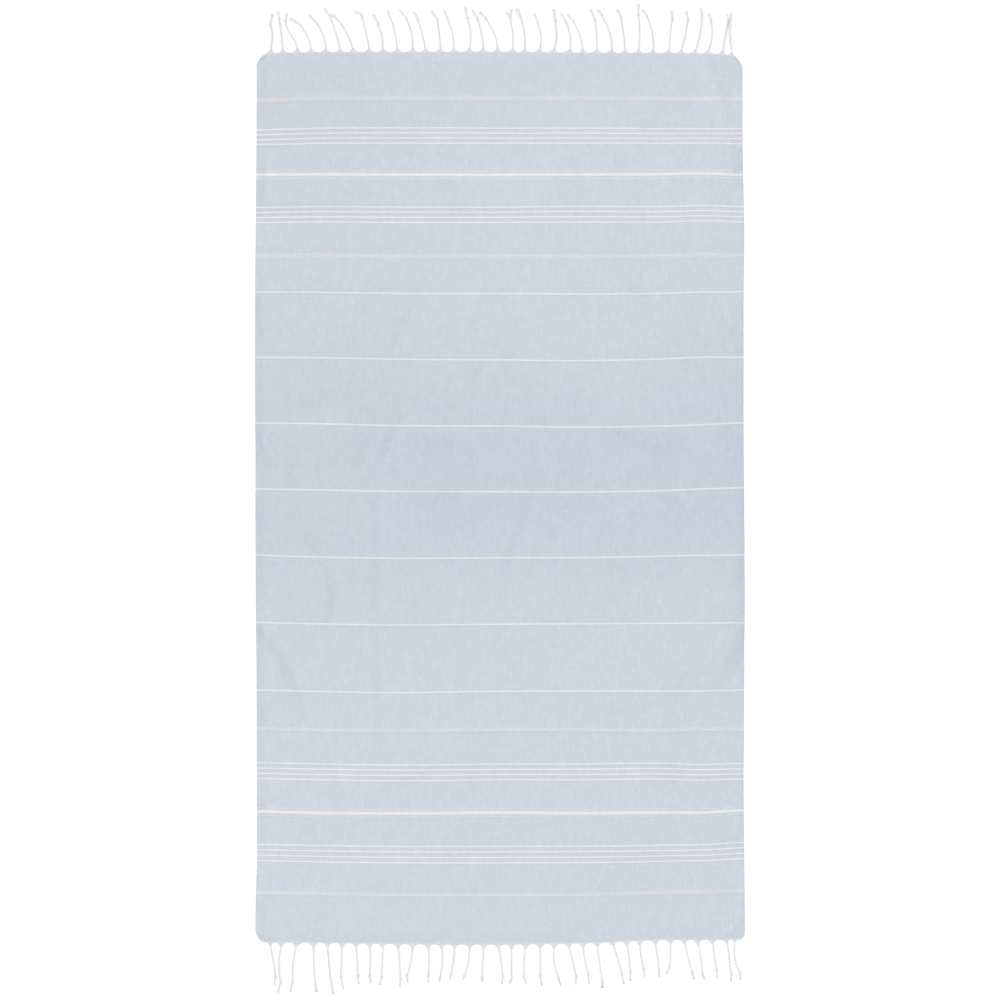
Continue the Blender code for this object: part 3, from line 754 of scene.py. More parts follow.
def hem_jog(across, along, from_side, from_end, settings):
    """How far the folded-over hem has shifted along the cloth under its stitches."""
    side_seed, seed = HEM_JOG_SEEDS
    places = zip((side_seed * np.sign(across)).flat, (along / HEM_JOG_PITCH).flat)
    jog = [noise.noise(Vector((a, b, seed))) for a, b in places]
    in_hem = np.clip((settings.hem_width - from_side) / HEM_JOG_RAMP, 0.0, 1.0)
    calm = np.clip(from_end / STEADY_EDGE, 0.0, 1.0)
    return HEM_JOG * np.array(jog).reshape(across.shape) * in_hem * calm


def hem_rise_at(inset, settings):
    """How much thicker the cloth is where the hem is turned in, with its stitched groove."""
    stitch = settings.hem_width - settings.stitch_inset
    groove = GROOVE_DEPTH * np.exp(-(((inset - stitch) / GROOVE_REACH) ** 2))
    step = np.clip((settings.hem_width + HEM_STEP / 2 - inset) / HEM_STEP, 0.0, 1.0)
    return settings.hem_rise * (step - groove)


def rounded(inset, reach):
    """Share of the thickness left near an edge that is rounded over a short reach."""
    left = np.clip(1 - inset / reach, 0.0, 1.0)
    return np.sqrt(1 - left**2)


def painted_shade_in_folds(x, y, shade):
    """Shade painted along the stripes' feet, in the tucks and in the troughs, and light painted on the
    ridges and the folded-over strips.
    """
    shade = shade + sum(crease_share(tuck, x, y) * tuck.shade for tuck in TUCKS)
    for crease in CREASES:
        # A trough's painted shade darkens the cloth, and a ridge's painted light brightens it.
        tone = TROUGH_PAINTED_SHADE if crease.rise < 0 else RIDGE_PAINTED_LIGHT
        shade = shade - crease_share(crease, x, y) * crease.rise * tone
    return shade


def sheet_points(columns, rows, settings):
    """The cloth's points: its upper face, its underside, their flat cut, their stripe yarn and their
    painted shade and light.
    """
    shape = (len(rows), len(columns))
    x = np.zeros(shape)
    y = np.zeros(shape)
    for c, across in enumerate(columns):
        drifts = column_drifts(across)
        for r, row in enumerate(rows):
            x[r, c], y[r, c] = cloth_place(across, row.along, drifts)
    across = np.broadcast_to(np.array(columns), shape)
    numbers = np.array([row[:5] for row in rows])
    along, rib, white, beige, shade = (np.broadcast_to(v[:, None], shape) for v in numbers.T)
    from_side = (1 - np.abs(across)) * HALF_WIDTH
    from_end = np.minimum(TOP_END - along, along - BOTTOM_END)
    y = y + hem_jog(across, along, from_side, from_end, settings)
    lift = lift_of(x, y, from_side, from_end, settings.unevenness)
    body = settings.thickness + hem_rise_at(from_side, settings)
    full = rounded(from_side, HEM_ROUND) * rounded(from_end, END_ROUND)
    middle = lift + body / 2
    over = middle + (body / 2 + rib) * full
    near, far = BELOW_INLAND
    inland = np.clip((np.minimum(from_side, from_end) - near) / (far - near), 0.0, 1.0)
    under = middle - body / 2 * full - lift * inland * (1 - BELOW_LIFT)
    flat = np.stack((across * HALF_WIDTH, along), axis=-1)
    upper = np.stack((x, y, over), axis=-1)
    lower = np.stack((x, y, under), axis=-1)
    # The painted shade and light of the folds, tucks and stripes' feet go onto the mesh with the yarn.
    yarns_and_painted_shade = {"white_weft": white, "beige_weft": beige, "fold_shade": painted_shade_in_folds(x, y, shade)}
    return upper, lower, flat, yarns_and_painted_shade


def underside_faces(rows_kept, columns_kept, number, number_below):
    """Faces of the underside. Those at the outline take in each point of the upper face there."""
    last_row, last_column = number.shape[0] - 1, number.shape[1] - 1
    faces = []
    for r0, r1 in zip(rows_kept, rows_kept[1:]):
        for c0, c1 in zip(columns_kept, columns_kept[1:]):
            path = [(r0, c) for c in (range(c0, c1) if r0 == 0 else (c0,))]
            path += [(r, c1) for r in (range(r0, r1) if c1 == last_column else (r0,))]
            path += [(r1, c) for c in (range(c1, c0, -1) if r1 == last_row else (c1,))]
            path += [(r, c0) for r in (range(r1, r0, -1) if c0 == 0 else (r1,))]
            faces.append([int(number_below[place]) for place in reversed(path)])
    return faces


def weave_sheet(settings):
    """The closed sheet: a fine upper face and a plainer underside that share one outline."""
    columns, rows = cloth_columns(), cloth_rows()
    upper, lower, flat, yarns_and_painted_shade = sheet_points(columns, rows, settings)
    rows_kept = [r for r, row in enumerate(rows) if row.below]
    columns_kept = columns_below(columns)
    number = np.arange(upper.shape[0] * upper.shape[1]).reshape(upper.shape[:2])
    inner = np.ix_(rows_kept[1:-1], columns_kept[1:-1])
    number_below = number.copy()
    number_below[inner] = number.size + np.arange(number[inner].size).reshape(number[inner].shape)
    faces = np.stack((number[:-1, :-1], number[:-1, 1:], number[1:, 1:], number[1:, :-1]), axis=-1)
    faces = faces.reshape(-1, 4).tolist()
    faces += underside_faces(rows_kept, columns_kept, number, number_below)

    mesh = bpy.data.meshes.new(CLOTH_PIECE)
    points = np.concatenate((upper.reshape(-1, 3), lower[inner].reshape(-1, 3)))
    mesh.from_pydata(points.tolist(), [], faces)
    corner_points = np.zeros(len(mesh.loops), dtype=int)
    mesh.loops.foreach_get("vertex_index", corner_points)
    cut = np.concatenate((flat.reshape(-1, 2), flat[inner].reshape(-1, 2)))
    layer = mesh.uv_layers.new(name="flat_cut")
    layer.uv.foreach_set("vector", cut[corner_points].ravel())
    for name, values in yarns_and_painted_shade.items():
        attribute = mesh.attributes.new(name, "FLOAT", "POINT")
        attribute.data.foreach_set("value", np.concatenate((values.ravel(), values[inner].ravel())))
    mesh.shade_smooth()
    cloth = bpy.data.objects.new(CLOTH_PIECE, mesh)
    bpy.context.scene.collection.objects.link(cloth)
    return cloth


def settle(piece):
    """Take a finished piece's place into its mesh, so that its object sits at the origin."""
    bpy.ops.object.select_all(action="DESELECT")
    piece.select_set(True)
    bpy.context.view_layer.objects.active = piece
    bpy.ops.object.transform_apply(location=True, rotation=True, scale=True)
    bpy.ops.object.select_all(action="DESELECT")
    return piece


# Fringes


class Strands:
    """Gathers closed tubes, one for each strand of yarn, into one mesh."""

    def __init__(self):
        self.points = []
        self.faces = []
        self.face_uvs = []
        self.tones = []
        self.caps = []

    def add(self, path, radii, sides, tone, reference=UP):
        """Add a tube along a path. Its section is measured from the reference direction."""
        path = np.asarray(path)
        aside, above = frames_along(path, reference)
        radii = np.broadcast_to(np.asarray(radii, dtype=float), (len(path),))
        first = len(self.points)
        turns = 2 * math.pi * np.arange(sides) / sides
        for place, s, a, radius in zip(path, aside, above, radii):
            for turn in turns:
                offset = s * math.cos(turn) + a * math.sin(turn)
                self.points.append(place + offset * radius)
        self.tones += [tone] * (len(path) * sides)
        runs = runs_along(path)
        for i in range(len(path) - 1):
            low, high = first + i * sides, first + (i + 1) * sides
            for j in range(sides):
                k = (j + 1) % sides
                self.faces.append((low + j, low + k, high + k, high + j))
                left, right = j / sides, (j + 1) / sides
                self.face_uvs += [(left, runs[i]), (right, runs[i])]
                self.face_uvs += [(right, runs[i + 1]), (left, runs[i + 1])]
        last = first + (len(path) - 1) * sides
        self.caps += [len(self.faces), len(self.faces) + 1]
        self.faces.append(tuple(first + j for j in reversed(range(sides))))
        self.faces.append(tuple(last + j for j in range(sides)))
        self.face_uvs += [(0.5, runs[0])] * sides + [(0.5, runs[-1])] * sides

    def to_object(self, name):
        """The gathered strands as one smooth mesh object."""
        points = np.array(self.points)
        points[:, 2] = np.maximum(points[:, 2], 0.0)
        mesh = bpy.data.meshes.new(name)
        mesh.from_pydata(points.tolist(), [], self.faces)
        layer = mesh.uv_layers.new(name="strand")
        layer.uv.foreach_set("vector", np.array(self.face_uvs, dtype=float).ravel())
        tone = mesh.attributes.new("strand_tone", "FLOAT", "POINT")
        tone.data.foreach_set("value", self.tones)
        mesh.shade_smooth()
        for cap in self.caps:
            mesh.polygons[cap].use_smooth = False
        piece = bpy.data.objects.new(name, mesh)
        bpy.context.scene.collection.objects.link(piece)
        return piece


def runs_along(path):
    """Distance of each point of a path from its start, measured along it."""
    return np.concatenate(((0.0,), np.cumsum(np.linalg.norm(np.diff(path, axis=0), axis=1))))


def frames_along(path, reference):
    """Unit vectors to the side of a path and above it, square to its run at each point."""
    run = np.gradient(path, axis=0)
    run /= np.linalg.norm(run, axis=1)[:, None]
    aside = np.cross(np.broadcast_to(reference, run.shape), run)
    aside /= np.linalg.norm(aside, axis=1)[:, None]
    return aside, np.cross(run, aside)


def ply_paths(path, reference, offsets, pitch, start):
    """The two plies twisted round a cord's middle line."""
    aside, above = frames_along(path, reference)
    turn = start + 2 * math.pi * runs_along(path) / pitch
    swing = aside * np.cos(turn)[:, None] + above * np.sin(turn)[:, None]
    swing *= np.broadcast_to(offsets, (len(path),))[:, None]
    return path + swing, path - swing


def bezier(p0, p1, p2, p3, steps):
    """Points along a cubic curve."""
    t = np.linspace(0.0, 1.0, steps)[:, None]
    p0, p1, p2, p3 = (np.array(p) for p in (p0, p1, p2, p3))
    return (1 - t) ** 3 * p0 + 3 * (1 - t) ** 2 * t * p1 + 3 * (1 - t) * t**2 * p2 + t**3 * p3


class FringeEdge:
    """The cloth's end edge that a fringe grows from, a little of the corners, and its yarn."""

    def __init__(self, end, settings):
        self.end = end
        self.outward = OUTWARD[end]
        self.yarn = YARNS[end]
        self.fan = FANS[end]
        self.cord = settings.cord_diameter
        self.mouth = self.cord * CORD_MOUTH
        self.knot = settings.knot_width * self.yarn.knot
        self.knot_lie = self.knot * KNOT_LIE
        along = TOP_END if end == "top" else BOTTOM_END
        steps = range(CORNER_STEPS, 0, -1)
        corner = [along - self.outward * CORNER_GATHER * k / CORNER_STEPS for k in steps]
        places = [(-1.0, a) for a in corner] + [(a, along) for a in cloth_columns()]
        places += [(1.0, a) for a in reversed(corner)]
        points = [cloth_place(across, a, column_drifts(across)) for across, a in places]
        self.x = np.array([p[0] for p in points])
        self.y = np.array([p[1] for p in points])

    def tone(self, chance, more=0.0):
        """Share of the dark yarn in one strand; more is the painted shade of a tail or a fan, and
        painted light where it is below zero.
        """
        return min(1.0, chance.uniform(self.yarn.lightest, self.yarn.darkest) + more)

    def point(self, x, at, down, z):
        """A point at x, a distance down from the edge's height at another place."""
        return (x, float(np.interp(at, self.x, self.y)) + self.outward * down, z)

    def on_cord(self, tassel, down, z):
        """A point on a tassel's cord, a distance down from the edge."""
        share = min(down / (tassel.drop * MM), 1.0)
        sideways = tassel.lean * down / (tassel.drop * MM) + tassel.bow * math.sin(math.pi * share)
        sideways += tassel.sway * math.sin(2 * math.pi * share)
        root = tassel.root * MM
        return self.point(root + sideways * MM, root, down, z)

    def borders(self, tassels):
        """Places between the tassels' roots, and where the outermost stop gathering warp."""
        roots = [tassel.root * MM for tassel in tassels]
        middles = [(a + b) / 2 for a, b in zip(roots, roots[1:])]
        left, right = CORNER_WARP[self.end]
        first = max(float(self.x[0]), roots[0] - left * MM)
        last = min(float(self.x[-1]), roots[-1] + right * MM)
        return [first] + middles + [last]


def gather_warp(strands, edge, tassel, reach, settings, chance):
    """The warp ends on both sides of a tassel's root, drawn along the edge and into its cord."""
    root = tassel.root * MM
    left, right = reach
    fan = edge.fan
    tall = fan.tall * MM
    count = max(FEWEST_WARP_ENDS, round((right - left) / settings.warp_spacing))
    skew = chance.uniform(-FAN_SKEW, FAN_SKEW)
    joined = edge.on_cord(tassel, tall, edge.cord / 2)
    onward = edge.on_cord(tassel, tall + WARP_IN_CORD, edge.cord / 2)
    radii = settings.warp_diameter / 2 * np.linspace(1.0, WARP_END_SHARE, settings.warp_steps + 1)
    for i in range(count):
        start_x = left + (right - left) * (i + 0.5) / count
        aside = start_x - root
        far = min(abs(aside) / FAR_WARP, FARTHEST)
        side = max(-1.0, min(1.0, aside / SIDE_WARP))
        start = WARP_START * chance.uniform(*START_SHARES)
        turn_x = start_x - fan.along_edge * aside
        out = 0.0006 * far - 0.0003 + chance.uniform(*TURN_STRAY)
        waist = (fan.waist_out * tall * (1 - 0.12 * far), WARP_HEIGHT + 0.0003 * (1 - far))
        in_cord = joined[2] * (MOUTH_HEIGHT + MOUTH_STRAY * chance.random())
        points = bezier(
            edge.point(start_x, start_x, start, WARP_START_HEIGHT),
            edge.point(turn_x, turn_x, out, WARP_HEIGHT + 0.0004),
            edge.point(root + fan.waist * aside + skew, root, *waist),
            (joined[0] + side * edge.mouth, joined[1], in_cord),
            settings.warp_steps,
        )
        strands.add(np.vstack((points, onward)), radii, 4, edge.tone(chance, fan.darker))


def twist_cord(strands, edge, tassel, settings, chance):
    """The two-ply cord from the gathered warp to its knot and just through it."""
    drop = tassel.drop * MM
    start = edge.fan.tall * MM - CORD_IN_FAN
    radius = edge.cord / 2
    lie = radius + CORD_CLEARANCE
    steps = max(12, int((drop - start) / settings.cord_step))
    downs = np.linspace(start, drop, steps)
    near = np.clip((downs - (drop - CORD_CLIMB)) / CORD_CLIMB, 0.0, 1.0)
    heights = lie + (edge.knot_lie - lie) * near**2 * (3 - 2 * near)
    path = np.array([edge.on_cord(tassel, d, z) for d, z in zip(downs, heights)])
    opening = np.clip((downs - start) / CORD_OPENING, 0.25, 1.0)
    phase = chance.uniform(0.0, math.pi)
    pitch = settings.ply_pitch * chance.uniform(0.9, 1.12)
    for ply in ply_paths(path, UP, radius * PLY_OUT * opening, pitch, phase):
        strands.add(ply, radius * PLY_SIZE * (0.75 + 0.25 * opening), 6, edge.tone(chance))


def tie_knot(strands, edge, tassel, settings, chance):
    """The overhand knot: the cord's own turns wrapped once and a half round itself."""
    drop = tassel.drop * MM
    half = settings.knot_length / 2
    before = np.array(edge.on_cord(tassel, drop - half, 0.0))
    centre = np.array(edge.on_cord(tassel, drop, edge.knot_lie))
    tip = np.array((centre[0] + tassel.kick * MM, centre[1] + edge.outward * tassel.tail * MM, 0.0))
    run = tip - before
    run[2] = 0.0
    run /= np.linalg.norm(run)
    aside = np.cross(UP, run)
    wrap = edge.cord * KNOT_WRAP
    wide = edge.knot / 2 - wrap
    high = edge.knot_lie - wrap
    hand = 1 if chance.random() < 0.5 else -1
    first = chance.uniform(0.0, 2 * math.pi)
    t = np.linspace(0.0, 1.0, settings.knot_steps)
    angle = first + hand * 2 * math.pi * KNOT_TURNS * t
    tuck = 1 - KNOT_TUCKED * np.clip(1 - np.minimum(t, 1 - t) / KNOT_TUCK, 0.0, 1.0)
    along = (t - 0.5) * (settings.knot_length - 2 * wrap) * KNOT_RUN
    path = centre + along[:, None] * run
    path += (wide * tuck * np.cos(angle))[:, None] * aside
    path += (high * tuck * np.sin(angle))[:, None] * UP
    pitch = settings.ply_pitch * KNOT_PLY_PITCH
    for ply in ply_paths(path, run, wrap * KNOT_PLY_OUT, pitch, chance.uniform(0.0, math.pi)):
        strands.add(ply, wrap * KNOT_PLY_SIZE, 6, edge.tone(chance), reference=run)
    core = centre + np.outer(tuple(KNOT_CORE), run * half)
    strands.add(core, wrap * np.array(tuple(KNOT_CORE.values())), 6, edge.tone(chance))


def fray_tail(strands, edge, tassel, odd, settings, chance):
    """The loose tail below the knot: separate warp ends that spread towards their tips."""
    centre = np.array(edge.on_cord(tassel, tassel.drop * MM, edge.knot_lie))
    tail = np.array((tassel.kick * MM, edge.outward * tassel.tail * MM, 0.0))
    length = np.linalg.norm(tail)
    run = tail / length
    aside = np.cross(UP, run)
    yarn = edge.yarn
    spread = (odd.spread if odd else yarn.spread * chance.uniform(0.75, 1.2)) * MM / 2
    parted = odd.parted if odd else False
    count = yarn.strands + (ODD_STRANDS if odd else 0)
    bend = chance.uniform(-TAIL_BEND, TAIL_BEND) * MM
    leaving = UP * (edge.knot_lie - edge.cord * 0.55)
    for i in range(count):
        place = 2 * (i + 0.5) / count - 1
        tip_place = place * spread + chance.uniform(-TIP_STRAY, TIP_STRAY) * MM
        if parted:
            tip_place += math.copysign(spread * PARTING, place)
        reach = length * (yarn.reach + chance.uniform(-0.08, 0.08))
        if parted and place > 0:
            reach *= SHORT_HALF
        radius = yarn.size * MM / 2 * chance.uniform(0.85, 1.15)
        throat = place * max(edge.mouth, spread * yarn.full)
        lie = radius + abs(chance.gauss(0.0, LIE_STRAY)) * MM
        sweep = tip_place * (0.55 + 0.4 * yarn.full) + bend
        points = bezier(
            centre + aside * throat * 0.6,
            centre + run * reach * 0.30 + aside * throat - leaving,
            centre + run * reach * 0.66 + aside * sweep - UP * (edge.knot_lie - lie - 0.0004),
            centre + run * reach + aside * tip_place - UP * (edge.knot_lie - lie),
            settings.tail_steps,
        )
        waves = np.linspace(0.0, chance.uniform(4.0, 8.0), len(points)) + chance.uniform(0.0, 6.0)
        growing = np.linspace(0.0, 1.0, len(points))
        points += np.outer(np.sin(waves) * settings.tail_wave * growing, aside)
        radii = radius * np.linspace(1.0, yarn.taper, len(points))
        strands.add(points, radii, 5, edge.tone(chance, yarn.darker))


def twist_fringe(end, settings):
    """One whole fringe as one piece."""
    tassels = FRINGES[end]
    edge = FringeEdge(end, settings)
    chance = random.Random(settings.seed + (0 if end == "top" else 1))
    strands = Strands()
    borders = edge.borders(tassels)
    odd_tails = {row.number: row for row in ODD_TAILS if row.end == end}
    for i, tassel in enumerate(tassels):
        gather_warp(strands, edge, tassel, (borders[i], borders[i + 1]), settings, chance)
        twist_cord(strands, edge, tassel, settings, chance)
        tie_knot(strands, edge, tassel, settings, chance)
        fray_tail(strands, edge, tassel, odd_tails.get(i + 1), settings, chance)
    return strands.to_object(FRINGE_PIECES[end])


# Finishes


class Wire:
    """An output of a material's nodes. Sums and products of wires add Math nodes."""

    def __init__(self, tree, socket=None):
        self.tree = tree
        self.socket = socket

    def node(self, kind, settings=None, inputs=None, output=0):
        """Add any other node: its settings first, then the values or links of its sockets."""
        node = self.tree.nodes.new(kind)
        for name, value in (settings or {}).items():
            setattr(node, name, value)
        for name, value in (inputs or {}).items():
            if isinstance(value, Wire):
                self.tree.links.new(value.socket, node.inputs[name])
            else:
                node.inputs[name].default_value = value
        return Wire(self.tree, node.outputs[output])

    def math(self, operation, *others, clamp=False):
        """A Math node on this value and the others."""
        values = dict(enumerate((self, *others)))
        return self.node("ShaderNodeMath", {"operation": operation, "use_clamp": clamp}, values)

    def __add__(self, other):
        return self.math("ADD", other)

    __radd__ = __add__

    def __sub__(self, other):
        return self.math("SUBTRACT", other)

    def __rsub__(self, other):
        values = {0: other, 1: self}
        return self.node("ShaderNodeMath", {"operation": "SUBTRACT"}, values)

    def __mul__(self, other):
        return self.math("MULTIPLY", other)

    __rmul__ = __mul__

    def __truediv__(self, other):
        return self.math("DIVIDE", other)

    def __abs__(self):
        return self.math("ABSOLUTE")

    def sine(self):
        return self.math("SINE")

    def clamped(self):
        return self.math("ADD", 0.0, clamp=True)

    def part(self, axis):
        """One axis of a vector."""
        return self.node("ShaderNodeSeparateXYZ", None, {0: self}, "XYZ".index(axis))

    def noise(self, scale_x, scale_y, detail, seed):
        """Smooth noise on a flat place, about 0, with its own grain along each axis."""
        place = self.node(
            "ShaderNodeVectorMath",
            {"operation": "MULTIPLY_ADD"},
            {0: self, 1: (scale_x, scale_y, 0.0), 2: (0.0, 0.0, seed)},
        )
        found = self.node(
            "ShaderNodeTexNoise",
            {"noise_dimensions": "3D"},
            {"Vector": place, "Scale": 1.0, "Detail": detail, "Roughness": 0.55},
        )
        return found - 0.5

    def mixed(self, first, second):
        """A Mix of two colours by this factor."""
        settings = {"data_type": "RGBA", "clamp_factor": True}
        return self.node("ShaderNodeMix", settings, {0: self, 6: first, 7: second}, 2)

    def tinted(self, tint):
        """This colour multiplied by another."""
        settings = {"data_type": "RGBA", "blend_type": "MULTIPLY"}
        return self.node("ShaderNodeMix", settings, {0: 1.0, 6: self, 7: tint}, 2)

    def shaded(self, value):
        """This colour multiplied by a value."""
        return self.tinted(self.node("ShaderNodeCombineXYZ", None, {0: value, 1: value, 2: value}))

    def attribute(self, name):
        """A value that is stored on the mesh's points."""
        return self.node("ShaderNodeAttribute", {"attribute_name": name}, None, "Fac")


def colour(rgb):
    """A colour with its alpha."""
    return (*rgb, 1.0)


def new_finish(name):
    """A new material, its Principled shader and the wire that its nodes start from."""
    material = bpy.data.materials.new(name)
    material.use_nodes = True
    shader = material.node_tree.nodes["Principled BSDF"]
    return material, shader, Wire(material.node_tree)


def dress(shader, base, height, relief, roughness):
    """Give a shader its colour, its fine relief and the dull surface of cotton."""
    inputs = {"Strength": 1.0, "Distance": relief, "Height": height}
    bump = height.node("ShaderNodeBump", None, inputs)
    for name, wire in {"Base Color": base, "Normal": bump}.items():
        wire.tree.links.new(wire.socket, shader.inputs[name])
    shader.inputs["Roughness"].default_value = roughness
    shader.inputs["Specular IOR Level"].default_value = COTTON_SPECULAR


def weighed(wires, weights):
    """The sum of some named wires, each by its weight."""
    total, *others = (wires[name] * weight for name, weight in weights.items())
    for wire in others:
        total = total + wire
    return total


def woven_finish(settings):
    """Plain-woven cotton: white warp, blue weft, thick white and beige weft in the stripes."""
    material, shader, start = new_finish("plain_weave")
    cut = start.node("ShaderNodeUVMap", {"uv_map": "flat_cut"})
    u = cut.part("X")
    v = cut.part("Y")
    grains = {
        name: cut.noise(1 / grain.across, 1 / grain.along, grain.detail, grain.seed)
        for name, grain in GRAINS.items()
    }
    white_colour, beige_colour = colour(settings.white_colour), colour(settings.beige_colour)

    warp_wave = (u * (math.pi / settings.warp_pitch)).sine()
    weft_wave = (v * (math.pi / settings.weft_pitch)).sine()
    warp_over = (warp_wave * weft_wave * CROSSING_SHARPNESS + 0.5).clamped()
    streaks = weighed(grains, STREAK_WEIGHTS)
    seen = warp_over * WARP_SEEN_OVER + WARP_SEEN + streaks * settings.streakiness

    side = (HALF_WIDTH - abs(u)) / settings.hem_width
    in_hem = ((1.0 - side) * HEM_RAMP).clamped()
    patchy = grains["stripe patch"] * STRIPE_PATCHES
    white = start.attribute("white_weft") * (STRIPE_FULL + patchy + in_hem * STRIPE_IN_HEM)
    beige = start.attribute("beige_weft") * (STRIPE_FULL + patchy)
    weft = beige.mixed(white.mixed(colour(settings.weft_colour), white_colour), beige_colour)
    stripe = (white + beige).clamped()
    warp = beige.mixed(stripe.mixed(colour(settings.warp_colour), white_colour), beige_colour)
    cloth = seen.clamped().mixed(weft, warp)

    mottle = weighed({"streaks": streaks, **grains}, MOTTLE_WEIGHTS)
    # Painted shade from the folds, tucks and stripes' feet darkens the cloth here, and painted light on
    # ridges brightens it.
    cloth = cloth.shaded(1.0 + mottle * settings.streakiness - start.attribute("fold_shade"))
    # Broad tones over the cloth, with a darker band across its middle.
    faded = cloth
    for tone in TONES:
        faded = toned(faded, u, v, tone)
    cloth = (stripe * STRIPE_KEEPS).mixed(faded, cloth)

    midway = (v * v * v * v * HEM_MIDDLE).math("EXPONENT")
    hem_tone = in_hem * (midway * HEM_LOSS + grains["hem patch"] * HEM_PATCHES)
    # Painted shade along the hem's fold, where it turns away from the light.
    fold = (1.0 - side * FOLD_RAMP).clamped() * FOLD_PAINTED_SHADE
    seam = stitch_line(u, v, settings)
    cloth = cloth.shaded(1.0 - hem_tone - fold - seam * SEAM_LOSS)
    from_end = abs(v - (TOP_END + BOTTOM_END) / 2) * -1.0 + (TOP_END - BOTTOM_END) / 2
    bare_warp = (BARE_SHARE - from_end * (BARE_SHARE / BARE_REACH)).clamped()
    cloth = bare_warp.mixed(cloth, colour(settings.bare_colour))

    thread = warp_over * abs(warp_wave) + (1.0 - warp_over) * abs(weft_wave)
    height = weighed({"thread": thread, "streaks": streaks, "seam": seam, **grains}, THREAD_WEIGHTS)
    dress(shader, cloth, height, settings.thread_relief, settings.roughness)
    return material


def toned(base, u, v, tone):
    """A colour tinted round one place, fading softly away from it."""
    across = (u - tone.x * MM) / (tone.reach_x * MM)
    along = (v - tone.y * MM) / (tone.reach_y * MM)
    away = across * across + along * along
    near = (away * -1.0).math("EXPONENT")
    return near.mixed(base, base.tinted(colour(tone.tint)))


def stitch_line(u, v, settings):
    """The row of stitches that holds each hem: 1 on a stitch and 0 off it."""
    line = HALF_WIDTH - settings.hem_width + settings.stitch_inset
    beside = abs(abs(u) - line) / STITCH_HALF
    wave = (v * (2 * math.pi / settings.stitch_length)).sine()
    return (1.0 - beside).clamped() * (wave * STITCH_SHARPNESS + STITCH_SHARE).clamped()


def yarn_finish(settings):
    """Undyed cotton yarn, twisted: fine turns along each strand and a tone for each."""
    material, shader, start = new_finish("undyed_yarn")
    strand = start.node("ShaderNodeUVMap", {"uv_map": "strand"})
    place = start.node("ShaderNodeTexCoord", None, None, "Object")
    fibre = strand.noise(*YARN_FIBRE)
    # A strand's tone holds its share of dark yarn and the painted shade and light of tails and fans.
    dark = (start.attribute("strand_tone") + place.noise(*YARN_PATCH)).clamped()
    yarn = dark.mixed(colour(settings.light_colour), colour(settings.dark_colour))
    yarn = yarn.shaded(1.0 + fibre * FIBRE_TONE)
    turns = strand.part("Y") * (2 * math.pi / settings.fibre_pitch) + strand.part("X") * (4 * math.pi)
    height = turns.sine() * TURN_HEIGHT + fibre * FIBRE_HEIGHT
    dress(shader, yarn, height, settings.fibre_relief, settings.roughness)
    return material


def floor_finish(rgb, glow):
    """Plain pale floor, softly lit from below as a light table is."""
    material, shader, _ = new_finish("pale_floor")
    looks = {
        "Base Color": colour(rgb),
        "Roughness": 0.9,
        "Specular IOR Level": 0.1,
        "Emission Color": colour((1.0, 1.0, 1.0)),
        "Emission Strength": glow,
    }
    for name, value in looks.items():
        shader.inputs[name].default_value = value
    return material


# Settings


Length = partial(FloatProperty, unit="LENGTH")
Factor = partial(FloatProperty, subtype="FACTOR")
Angle = partial(FloatProperty, subtype="ANGLE")
Colour = partial(FloatVectorProperty, subtype="COLOR")


class TowelClothSettings(bpy.types.PropertyGroup):
    """Sizes and colours of the woven cloth."""

    thickness: Length(name="Thickness", description="Thickness of the plain weave", default=0.0012)
    hem_width: Length(name="Hem width", description="Width of the turned-in sides", default=0.016)
    hem_rise: Length(name="Hem rise", description="How much thicker the hem is", default=0.00026)
    stitch_inset: Length(
        name="Stitch inset", description="Stitches in from the hem's fold", default=0.0016
    )
    stitch_length: Length(name="Stitch length", description="Length of one stitch", default=0.0035)
    warp_pitch: Length(name="Warp pitch", description="Distance between warp threads", default=0.0011)
    weft_pitch: Length(name="Weft pitch", description="Distance between weft threads", default=0.0010)
    thread_relief: Length(name="Thread relief", description="Height of the threads", default=0.00022)
    unevenness: Factor(name="Unevenness", description="Strength of the soft creases", default=2.0)
    streakiness: Factor(name="Streaks", description="Strength of the uneven yarn", default=1.0)
    roughness: Factor(name="Roughness", description="Roughness of the cotton", default=0.92)
    warp_colour: Colour(name="Warp", description="Colour of the warp", default=(0.584, 0.612, 0.640))
    weft_colour: Colour(name="Weft", description="Colour of the weft", default=(0.441, 0.498, 0.588))
    white_colour: Colour(
        name="White weft", description="Colour of the stripes", default=(0.690, 0.688, 0.701)
    )
    bare_colour: Colour(
        name="Bare warp", description="Colour of the ends' last warp", default=(0.660, 0.640, 0.655)
    )
    beige_colour: Colour(
        name="Beige weft", description="Colour of the double lines", default=(0.552, 0.564, 0.600)
    )


